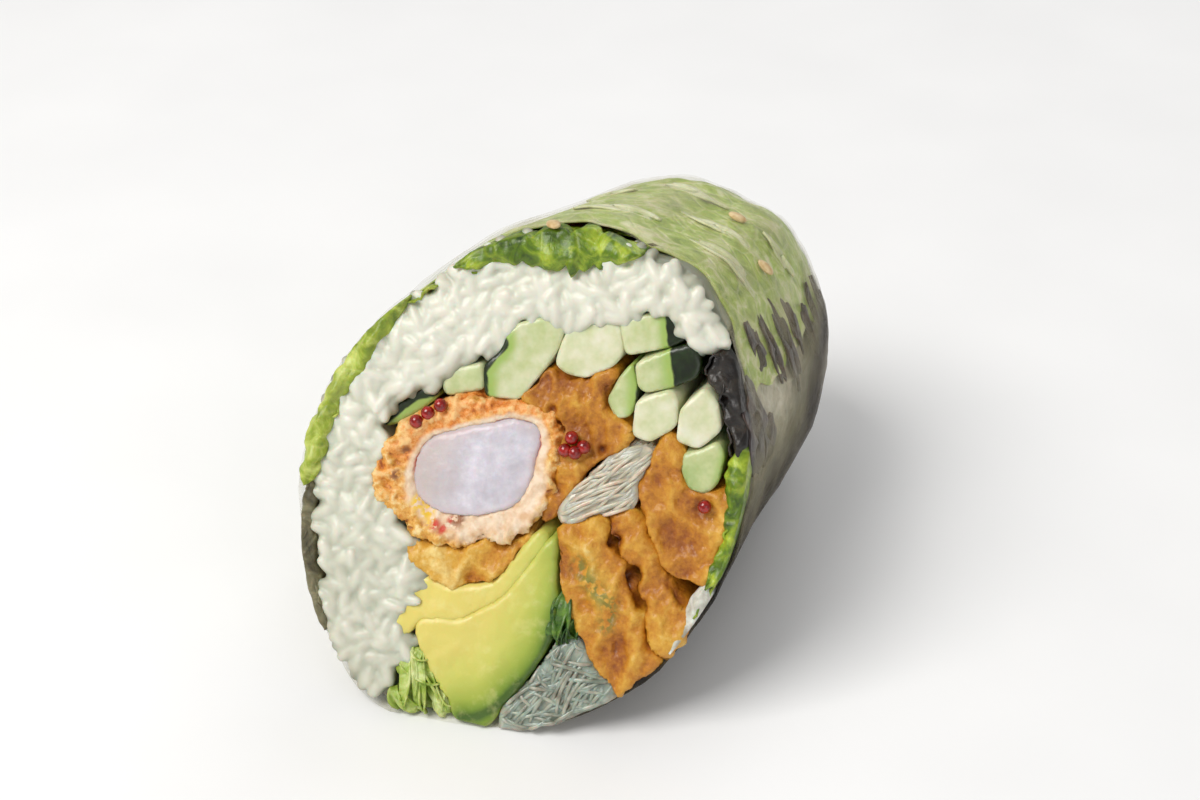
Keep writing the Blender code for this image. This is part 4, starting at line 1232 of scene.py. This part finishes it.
# Flaps that lie over the cut: the edge nearer the middle, and the edge at the film
FLAP_TOP = (((-15.9, 25.0), (-11, 26.2), (-7.1, 26.7), (-1.4, 26.6), (3.8, 27.7), (8.5, 29)),
            ((-16.3, 26.3), (-13.3, 28.2), (-9.8, 29.7), (-5.1, 30.8), (0.8, 31.4), (8.7, 30.2)))
FLAP_LEFT = (((-21.4, 20.2), (-22.9, 17.6), (-24.4, 15), (-25.6, 11.4), (-27.8, 7.4),
              (-28.4, 2.3), (-28.6, -2.8)),
             ((-22.2, 21.7), (-24.7, 19), (-27.2, 14.9), (-29.3, 10.6), (-30.5, 6.4),
              (-31.2, 1.9), (-30.6, -3.2)))
FLAP_LEFT_LOW = (((-28.4, -3), (-28.0, -8), (-26.6, -12.2), (-24.4, -16.6), (-21.6, -20.6)),
                 ((-30.3, -3), (-29.6, -8.2), (-28.2, -12.6), (-26, -17), (-22.9, -21.2)))
FLAP_RIGHT = (((27.0, 8.4), (27.0, 5.4), (27.9, 2.4), (28.3, -1.4), (28.3, -4.6), (27.6, -8)),
              ((28.8, 9.6), (30.4, 6.2), (30.6, 2.4), (30.6, -1.6), (30.1, -5.4), (29.0, -8.8)))
FLAP_CURL = (((20.4, 18.6), (21.4, 15.8), (23.6, 13.4), (25.4, 10.6), (26.8, 7.4)),
             ((23.4, 19.6), (25.2, 16.6), (26.8, 13.4), (28.3, 10.4), (29.2, 7)))
# A fold of the film's edge
FOLD = (((27.2, -8.0), (26.4, -10.4), (26.0, -13.2), (24.6, -16.8)),
        ((28.9, -8.6), (29.3, -11), (28.4, -14.2), (26.8, -17.2)))
LEAF_THICKNESS = 0.3
LEAF_END = 64
# Rows of a leaf seen edge-on, by how far behind its front they lie
LEAF_ROWS = (0, 0.3, 0.6, 1, 1.5, 2.1, 2.8, 3.6, 4.6, 6, 8, 10.5)
LEAF_BACK_ROWS = 15
LEAF_STEP = 0.3
# Rows of a flap, and how far past its two edges it is tucked in, as a share of its width
FLAP_ROWS = 22
FLAP_TUCK = 0.35
SHEET_ROWS = 46
# Rings of a ragged scrap of leaf, as shares of its size
SCRAP_RINGS = (0.02, 0.3, 0.55, 0.75, 0.9, 1.0)


def leaf(name, path, front, ruffle, seed):
    """A thin leaf seen edge-on along a path on the face, running back along the roll.

    front gives how far its edge stands out at each share of the path, and ruffle how far
    its folds swing to either side there.
    """
    path = even_path(path, LEAF_STEP)
    count = len(path)
    along = np.gradient(path, axis=0)
    along /= np.linalg.norm(along, axis=1)[:, None]
    side = np.stack([along[:, 1], -along[:, 0]], axis=-1)
    start = cut_depth(*path.T) - np.array([front(s) for s in np.linspace(0, 1, count)])
    rows = [start + behind for behind in LEAF_ROWS]
    rows += [rows[-1] + (LEAF_END - rows[-1]) * share
             for share in np.linspace(0, 1, LEAF_BACK_ROWS)[1:]]
    run = np.arange(count) * LEAF_STEP
    places = []
    for y in rows:
        deep = y - start
        swing = np.exp(-deep / 3.0) * ruffle
        fold = wave_at(run * 0.55, deep * 0.1, seed) + 0.5 * wave_at(run * 1.5, deep * 0.25, seed)
        low = wave_at(run * 0.12, deep * 0.1, seed + 9)
        offset = 1.6 * swing * fold + 0.25 * low * (1 - np.exp(-deep / 6))
        x, w = (path + side * offset[:, None]).T
        edge = 0.7 * swing * wave_at(run * 1.1, 7.7, seed)
        places.append(place(x, w, y + edge, share=1 - 0.05 * np.clip(deep / 60, 0, 1)))
    return grid_object(name, places, LEAF_THICKNESS)


def wave_at(a, b, seed):
    """Smooth noise over pairs of coordinates, from about -1 to 1."""
    return np.array([noise.noise(Vector((p, q, 5.3 * seed)))
                     for p, q in zip(*np.broadcast_arrays(np.atleast_1d(a), b))])


def grid_object(name, rows, thickness):
    """A thin sheet through rows of places, all of the same length."""
    count = len(rows[0])
    faces = [(k * count + i, k * count + i + 1, (k + 1) * count + i + 1, (k + 1) * count + i)
             for k in range(len(rows) - 1) for i in range(count - 1)]
    return thickened(add_object(name, mesh_from(name, np.vstack(rows), faces)), thickness)


def flap(name, edges, out, fold, seed):
    """A crumpled leaf that lies over the cut between two edges and tucks in behind them."""
    count = int(1 + max(np.linalg.norm(np.diff(np.array(edge), axis=0), axis=1).sum()
                        for edge in edges) / LEAF_STEP)
    inner, outer = (even_count(edge, count) for edge in edges)
    run = np.arange(count) * LEAF_STEP
    taper_ends = np.clip(np.minimum(run, run[::-1]) / 2.0, 0, 1) ** 0.6
    rows = []
    for v in np.linspace(-FLAP_TUCK, 1 + FLAP_TUCK, FLAP_ROWS):
        across = np.clip(v, 0, 1)
        tuck = 6.0 * max(0, -v, v - 1)
        middle = 0.5 + (across - 0.5) * taper_ends
        p = inner + (outer - inner) * middle[:, None]
        swing = wave_at(run * 0.3, v * 1.6, seed) + 0.4 * wave_at(run * 0.75, v * 2.4, seed + 1)
        frill = 0.4 * wave_at(run * 0.8, v, seed + 2) * abs(2 * across - 1)
        x, w = (p + (outer - inner) * frill[:, None] * 0.6).T
        stand = out + fold * swing + 0.8 * math.sin(math.pi * across) - tuck
        reach = np.hypot(x, w)
        limit = film_radius(np.arctan2(w, x) % math.tau) - 0.55
        x, w = x * np.minimum(1, limit / reach), w * np.minimum(1, limit / reach)
        rows.append(place(x, w, cut_depth(x, w) - stand))
    return grid_object(name, rows, LEAF_THICKNESS)


def even_count(points, count):
    """An open path with rounded corners and a number of points, evenly spread."""
    path = even_path(points, 0.1)
    at = np.linspace(0, len(path) - 1, count)
    return np.stack([np.interp(at, np.arange(len(path)), path[:, k]) for k in (0, 1)], axis=-1)


def sheet(name, degrees, first, last, depth, seed):
    """A leaf under the film between two angles, from first to last behind the cut."""
    angle = np.radians(np.linspace(*degrees, int(abs(degrees[1] - degrees[0]) * 0.9)))
    end = last + 2.5 * wave_at(angle * 5, 8.1, seed)
    rows = []
    for share in np.linspace(0, 1, SHEET_ROWS):
        ragged = 0.12 * wave_at(share * 9, 0.0, seed) * np.linspace(-1, 1, len(angle))
        bent = angle + ragged
        radius = film_radius(bent % math.tau)
        folds = (0.25 * wave_at(angle * 6, share * 14, seed)
                 + 0.12 * wave_at(angle * 15, share * 40, seed + 1))
        deep = (depth + folds) / taper(TAPER_UP, first + (last - first) * share)
        x, w = (radius - deep) * np.cos(bent), (radius - deep) * np.sin(bent)
        front = cut_depth(x, w) + first + 1.5 * wave_at(angle * 7, 3.3, seed)
        rows.append(place(x, w, front + (end - front) * share))
    return grid_object(name, rows, LEAF_THICKNESS)


# Purple streaks and pale ribs that show through the film: angle, y, and half their size
# round the roll in degrees and along it in mm
STREAKS = ((35, 26, 7, 2.0), (30, 31, 11, 1.5), (26, 37, 14, 1.9), (30, 42, 9, 1.5),
           (23, 48, 11, 1.5), (28, 54, 8, 1.5), (21, 18, 9, 3.2), (14, 15.5, 11, 3.2),
           (9, 21, 9, 2.6), (25, 60, 10, 1.7), (18, 65, 9, 1.4))
RIBS = ((95, 34, 14, 1.6), (70, 42, 11, 1.2), (58, 33, 12, 1.5), (84, 52, 10, 1.3),
        (110, 48, 9, 1.3), (50, 50, 8, 1.4))


def patches(name, places_on_film, depth, seed):
    """Ragged scraps of leaf under the film, joined into one object."""
    parts = []
    for number, (degrees, y, wide, long) in enumerate(places_on_film):
        rows = []
        turn = np.linspace(0, math.tau, 41)
        ragged = 1 + 0.4 * wave_at(2.2 * np.cos(turn), 2.2 * np.sin(turn) + number, seed)
        for share in SCRAP_RINGS:
            angle = np.radians(degrees + wide * share * ragged * np.cos(turn))
            radius = film_radius(angle % math.tau) - depth - 0.25 * np.sin(turn * 2 + number)
            rows.append(place(radius * np.cos(angle), radius * np.sin(angle),
                              y + long * share * ragged * np.sin(turn)))
        parts.append(grid_object("patch", rows, LEAF_THICKNESS))
    return joined(name, parts)


def make_leaves():
    lettuce = lettuce_finish("lettuce", (30, 58, 0), (98, 128, 4), (176, 194, 56))
    pale = lettuce_finish("pale_lettuce", (84, 112, 14), (148, 166, 44), (204, 214, 112))
    shade = lettuce_finish("shaded_leaf", (54, 50, 32), (98, 92, 64), (150, 144, 110))
    # under is a lighter copy of the lettuce: painted light that makes up for the shade the film
    # casts on the leaves beneath it.
    under = lettuce_finish("lettuce_under_film", (122, 148, 40), (176, 198, 84),
                           (234, 230, 184))
    grey = lettuce_finish("pale_leaf_under_film", (140, 134, 110), (184, 176, 150),
                          (216, 209, 186))
    purple = lettuce_finish("purple_leaf", (6, 4, 3), (20, 14, 11), (52, 45, 36))
    purple_under = lettuce_finish("purple_under_film", (20, 9, 8), (44, 26, 24),
                                  (86, 66, 54))

    def top_front(s):
        return 0.6 + 0.5 * math.sin(s * 19) - 7.5 * max(0, min(1, (0.4 - s) / 0.1))

    def leaf_piece(name, material, slot, node, *parts):
        piece(joined(name, parts), material, [node])

    leaf_piece("lettuce_top_leaf", lettuce, "lettuce", "lettuce_top",
               leaf("edge", LETTUCE_TOP, top_front, 0.7, 1),
               flap("flap", FLAP_TOP, 1.0, 1.3, 21))
    leaf_piece("lettuce_top_back", under, "lettuce", "lettuce_top",
               sheet("sheet", (24, 150), 3.5, 68.5, 0.8, 31))
    leaf_piece("lettuce_ribs", lettuce_finish("lettuce_rib", (186, 192, 134), (212, 214, 168),
                                              (230, 230, 196)),
               "lettuce", "lettuce_top", patches("ribs", RIBS, 0.6, 36))
    leaf_piece("lettuce_left_leaf", pale, "lettuce", "lettuce_left",
               leaf("edge", LETTUCE_LEFT, lambda s: 0.5 + 0.6 * math.sin(s * 23), 0.6, 2),
               flap("flap", FLAP_LEFT, 0.5, 1.0, 22))
    leaf_piece("lettuce_left_back", under, "lettuce", "lettuce_left",
               sheet("sheet", (148, 190), 3, 68.5, 0.9, 32))
    leaf_piece("purple_left_leaf", shade, "purple_leaf", "purple_leaf_left",
               leaf("edge", PURPLE_LEFT, lambda s: 0.3 + 0.5 * math.sin(s * 17), 0.6, 3),
               flap("flap", FLAP_LEFT_LOW, -0.3, 0.5, 23))
    leaf_piece("lettuce_right_leaf", lettuce, "lettuce", "lettuce_right",
               leaf("edge", LETTUCE_RIGHT, lambda s: 0.9 + 0.6 * math.sin(s * 21), 0.7, 4),
               flap("flap", FLAP_RIGHT, 0.9, 1.1, 24))
    leaf_piece("purple_right_leaf", purple, "purple_leaf", "purple_leaf_right",
               leaf("edge", PURPLE_RIGHT, lambda s: 0.9 + 0.5 * math.sin(s * 27), 0.6, 5),
               flap("flap", FLAP_CURL, 0.4, 1.0, 25))
    leaf_piece("purple_right_back", purple_under, "purple_leaf", "purple_leaf_right",
               patches("streaks", STREAKS, 0.6, 35))
    leaf_piece("lettuce_right_back", grey, "lettuce", "lettuce_right",
               sheet("sheet", (-70, 30), 3, 68.5, 1.3, 33))


# Film

FILM_THICKNESS = 0.3
FILM_AROUND = 240
# Its pleats, and the size of the roll where they begin
PLEATS = 7
PLEAT_DEPTH = 4
PLEAT_START = 0.65
WRINKLE_HEIGHT = 0.28
# Rows between the cut and the first level, and the levels along the roll
FILM_FRONT_ROWS = 33
FILM_LEVELS = (22, 25, 28, 31, 35, 38, 41, 44.5, 48, 51, 54, 58, 60.5, 63, 66, 68.5, 71, 72.5,
               74, 75.3, 76.5)


def make_film():
    """The wet rice paper: a wrinkled cup, pleated at its closed end.

    It is painted brown low at the right and behind, a painted shade, and less clear where it is
    folded at the end.
    """
    angle = np.linspace(0, math.tau, FILM_AROUND, endpoint=False)
    radius = film_radius(angle)
    x = radius * np.cos(angle)
    w = np.maximum(radius * np.sin(angle), -AXIS_HEIGHT)
    ragged = 0.45 * np.sin(5 * angle + 1) + 0.25 * np.sin(13 * angle)
    front = cut_depth(x, w) + 0.9 + ragged
    rows = []
    for share in np.linspace(0, 1, FILM_FRONT_ROWS + 1)[:-1]:
        rows.append(place(x, w, front + (FILM_LEVELS[0] - front) * share, floor=0))
    for level in FILM_LEVELS:
        size = taper(TAPER_UP, level)
        row = place(x, w, np.full(FILM_AROUND, float(level)), floor=0)
        row[:, 1] += PLEAT_DEPTH * MM * max(0, PLEAT_START - size) * np.sin(PLEATS * angle)
        rows.append(row)
    tip = np.array([[-CENTRE_X, TAPER_UP[-1][0] - 1 - CENTRE_Y, AXIS_HEIGHT * 0.3]]) * MM
    around = FILM_AROUND
    faces = [(k * around + (i + 1) % around, k * around + i, (k + 1) * around + i,
              (k + 1) * around + (i + 1) % around)
             for k in range(len(rows) - 1) for i in range(around)]
    last = (len(rows) - 1) * around
    faces += [(last + (i + 1) % around, last + i, last + around) for i in range(around)]
    mesh = mesh_from("film_wrap", np.vstack(rows + [tip]), faces)
    face_outwards(mesh)
    places = positions(mesh)
    wrinkle = (noise_at(places * (1, 0.3, 1), 4.5, seed=90)
               + 0.5 * noise_at(places * (1, 0.3, 1), 1.8, seed=91))
    lifted = np.clip((places[:, 2] / MM - 1.5) / 4, 0, 1)
    set_positions(mesh, places + normals(mesh) * (WRINKLE_HEIGHT * wrinkle * lifted * MM)[:, None])
    face = face_points(mesh)
    around = np.degrees(np.arctan2(face[:, 1], face[:, 0]))
    behind = positions(mesh)[:, 1] / MM + CENTRE_Y
    # Painted shade: the shade attribute paints the film brown and less clear low at the right and
    # towards the back.
    low = np.clip((24 - around) / 38, 0, 1)
    rear = np.clip((behind - 36) / 16, 0, 1) * np.clip((44 - around) / 34, 0, 1)
    above = np.clip((around + 80) / 20, 0, 1)
    set_attribute(mesh, "shade", 0.9 * np.clip(low + rear, 0, 1) * above)
    set_attribute(mesh, "folded", np.clip((behind - 66) / 6, 0, 1))
    film = thickened(add_object("film_wrap", mesh), FILM_THICKNESS, offset=-1)
    piece(film, film_finish(), ["rice_paper"])
    paper = lettuce_finish("folded_paper", (160, 156, 138), (206, 204, 190), (240, 240, 232))
    piece(flap("film_fold", FOLD, 0.1, 0.7, 26), paper, ["rice_paper"])


# Small toppings

BEAD_RADIUS = 1.0
# Roe beads: face point, and how far their middles stand out
BEADS = ((-16.4, 6.4, 0.9), (-15.1, 7.6, 0.9), (-13.6, 8.7, 0.9), (5.3, 7.0, 1.0),
         (4.8, 5.4, 1.0), (6.3, 5.4, 1.3), (7.2, 6.1, 1.0), (25.2, 1.2, 1.3))
# Sesame seeds: angle round the film and y
SEEDS = ((98, 18), (142, 65), (68, 49), (51, 41))
SEED_SIZE = (3.0, 2.0, 1.0)


def ball(bm, centre, radii, turn=None):
    """Add a ball to a mesh; radii are its half sizes in mm along its own axes."""
    made = bmesh.ops.create_uvsphere(bm, u_segments=20, v_segments=14, radius=1)
    for vert in made["verts"]:
        point = Vector([c * r for c, r in zip(vert.co, radii)]) * MM
        if turn:
            point = turn @ point
        vert.co = point + Vector(centre)


def smooth_object(name, bm):
    mesh = bpy.data.meshes.new(name)
    bm.to_mesh(mesh)
    bm.free()
    mesh.shade_smooth()
    return add_object(name, mesh)


def make_beads():
    bm = bmesh.new()
    for x, w, out in BEADS:
        ball(bm, on_face(x, w, out), (BEAD_RADIUS,) * 3)
    piece(smooth_object("roe_beads", bm), roe_finish(), [])


def make_seeds():
    bm = bmesh.new()
    for degrees, y in SEEDS:
        angle = math.radians(degrees)
        radius = float(film_radius(angle))
        outward = Vector((math.cos(angle), 0.15, math.sin(angle))).normalized()
        turn = outward.to_track_quat("Z", "Y").to_matrix()
        length, width, height = (size / 2 for size in SEED_SIZE)
        ball(bm, place(radius * math.cos(angle), radius * math.sin(angle), y, floor=0),
             (width, length, height), turn)
    piece(smooth_object("sesame_seeds", bm), sesame_finish(), [])


# Stage, light and camera

CAMERA_AZIMUTH = 27.3
CAMERA_ELEVATION = 36.0
CAMERA_DISTANCE = 300.0
# The photo's frame, and where the middle of the cut face is in it, in pixels
PHOTO_WIDTH = 1200
PHOTO_HEIGHT = 800
FACE_PIXEL = (522.5, 486.0)
PIXELS_PER_MM = 7.11
SENSOR_WIDTH = 36.0
# Lights, in watts, and the brightness of the room
KEY_POWER = 6.1
FILL_POWER = 0.9
RIM_POWER = 1.6
ROOM_BRIGHTNESS = 0.35
FLOOR_SIZE = 6


def make_camera():
    camera = bpy.data.cameras.new("camera")
    camera.sensor_width = SENSOR_WIDTH
    camera.lens = SENSOR_WIDTH * PIXELS_PER_MM * CAMERA_DISTANCE / PHOTO_WIDTH
    camera.shift_x = (PHOTO_WIDTH / 2 - FACE_PIXEL[0]) / PHOTO_WIDTH
    camera.shift_y = (FACE_PIXEL[1] - PHOTO_HEIGHT / 2) / PHOTO_WIDTH
    camera.clip_start = 0.01
    obj = add_object("camera", camera)
    azimuth = math.radians(CAMERA_AZIMUTH)
    elevation = math.radians(CAMERA_ELEVATION)
    back = Vector((math.sin(azimuth) * math.cos(elevation),
                   -math.cos(azimuth) * math.cos(elevation), math.sin(elevation)))
    face = Vector((-CENTRE_X, -CENTRE_Y, AXIS_HEIGHT)) * MM
    obj.location = face + back * CAMERA_DISTANCE * MM
    obj.rotation_euler = back.to_track_quat("Z", "Y").to_euler()
    bpy.context.scene.camera = obj


def add_light(name, location, target, size, power, colour=(1, 1, 1)):
    light = bpy.data.lights.new(name, "AREA")
    light.size = size
    light.energy = power
    light.color = colour
    obj = add_object(name, light)
    obj.location = location
    direction = Vector(location) - Vector(target)
    obj.rotation_euler = direction.to_track_quat("Z", "Y").to_euler()


def make_stage():
    bpy.ops.mesh.primitive_plane_add(size=FLOOR_SIZE, location=(0, 0, 0))
    floor = bpy.context.active_object
    floor.name = "floor"
    paper = Finish("pale_floor", Roughness=0.7)
    paper.colour(paper.ramp(paper.noise(40.0), (0.3, (248, 248, 248)), (0.7, (252, 252, 252))))
    floor.data.materials.append(paper.material)
    world = bpy.data.worlds.new("studio")
    world.use_nodes = True
    background = world.node_tree.nodes["Background"]
    background.inputs["Color"].default_value = (1, 1, 1, 1)
    background.inputs["Strength"].default_value = ROOM_BRIGHTNESS
    bpy.context.scene.world = world
    middle = (0, 0, 0.03)
    add_light("key", (-0.3, -0.45, 0.75), middle, 0.5, KEY_POWER, (1, 0.985, 0.96))
    add_light("fill", (0.6, -0.5, 0.35), middle, 0.6, FILL_POWER)
    add_light("rim", (0.0, 0.7, 0.6), middle, 0.5, RIM_POWER)
    bpy.context.scene.view_settings.view_transform = "Standard"


def main():
    make_camera()
    make_stage()
    strand = strand_tree()
    make_film()
    make_leaves()
    make_rice(scatter_tree())
    make_shrimp()
    make_batter()
    make_tofu()
    make_avocado()
    make_cucumbers()
    make_noodles("noodles_middle", "glass_noodles",
                 noodle_finish("glass_noodle", (196, 172, 148), (232, 214, 194)),
                 math.radians(36), 0.22, strand, 71)
    make_noodles("noodles_bottom", "glass_noodles_low",
                 noodle_finish("glass_noodle_grey", (124, 126, 110), (184, 184, 168)),
                 math.radians(31), 0.9, strand, 72)
    make_shreds("spring_onion", "spring_onion_shreds",
                lettuce_finish("spring_onion", (104, 134, 30), (164, 186, 76), (220, 226, 156)),
                math.radians(-50), 1.9, 1.6, 73)
    make_shreds("herb", "herb_shreds",
                lettuce_finish("herb_leaf", (14, 36, 8), (44, 80, 22), (104, 140, 50)),
                math.radians(-60), 2.4, 1.2, 74)
    make_beads()
    make_seeds()


main()
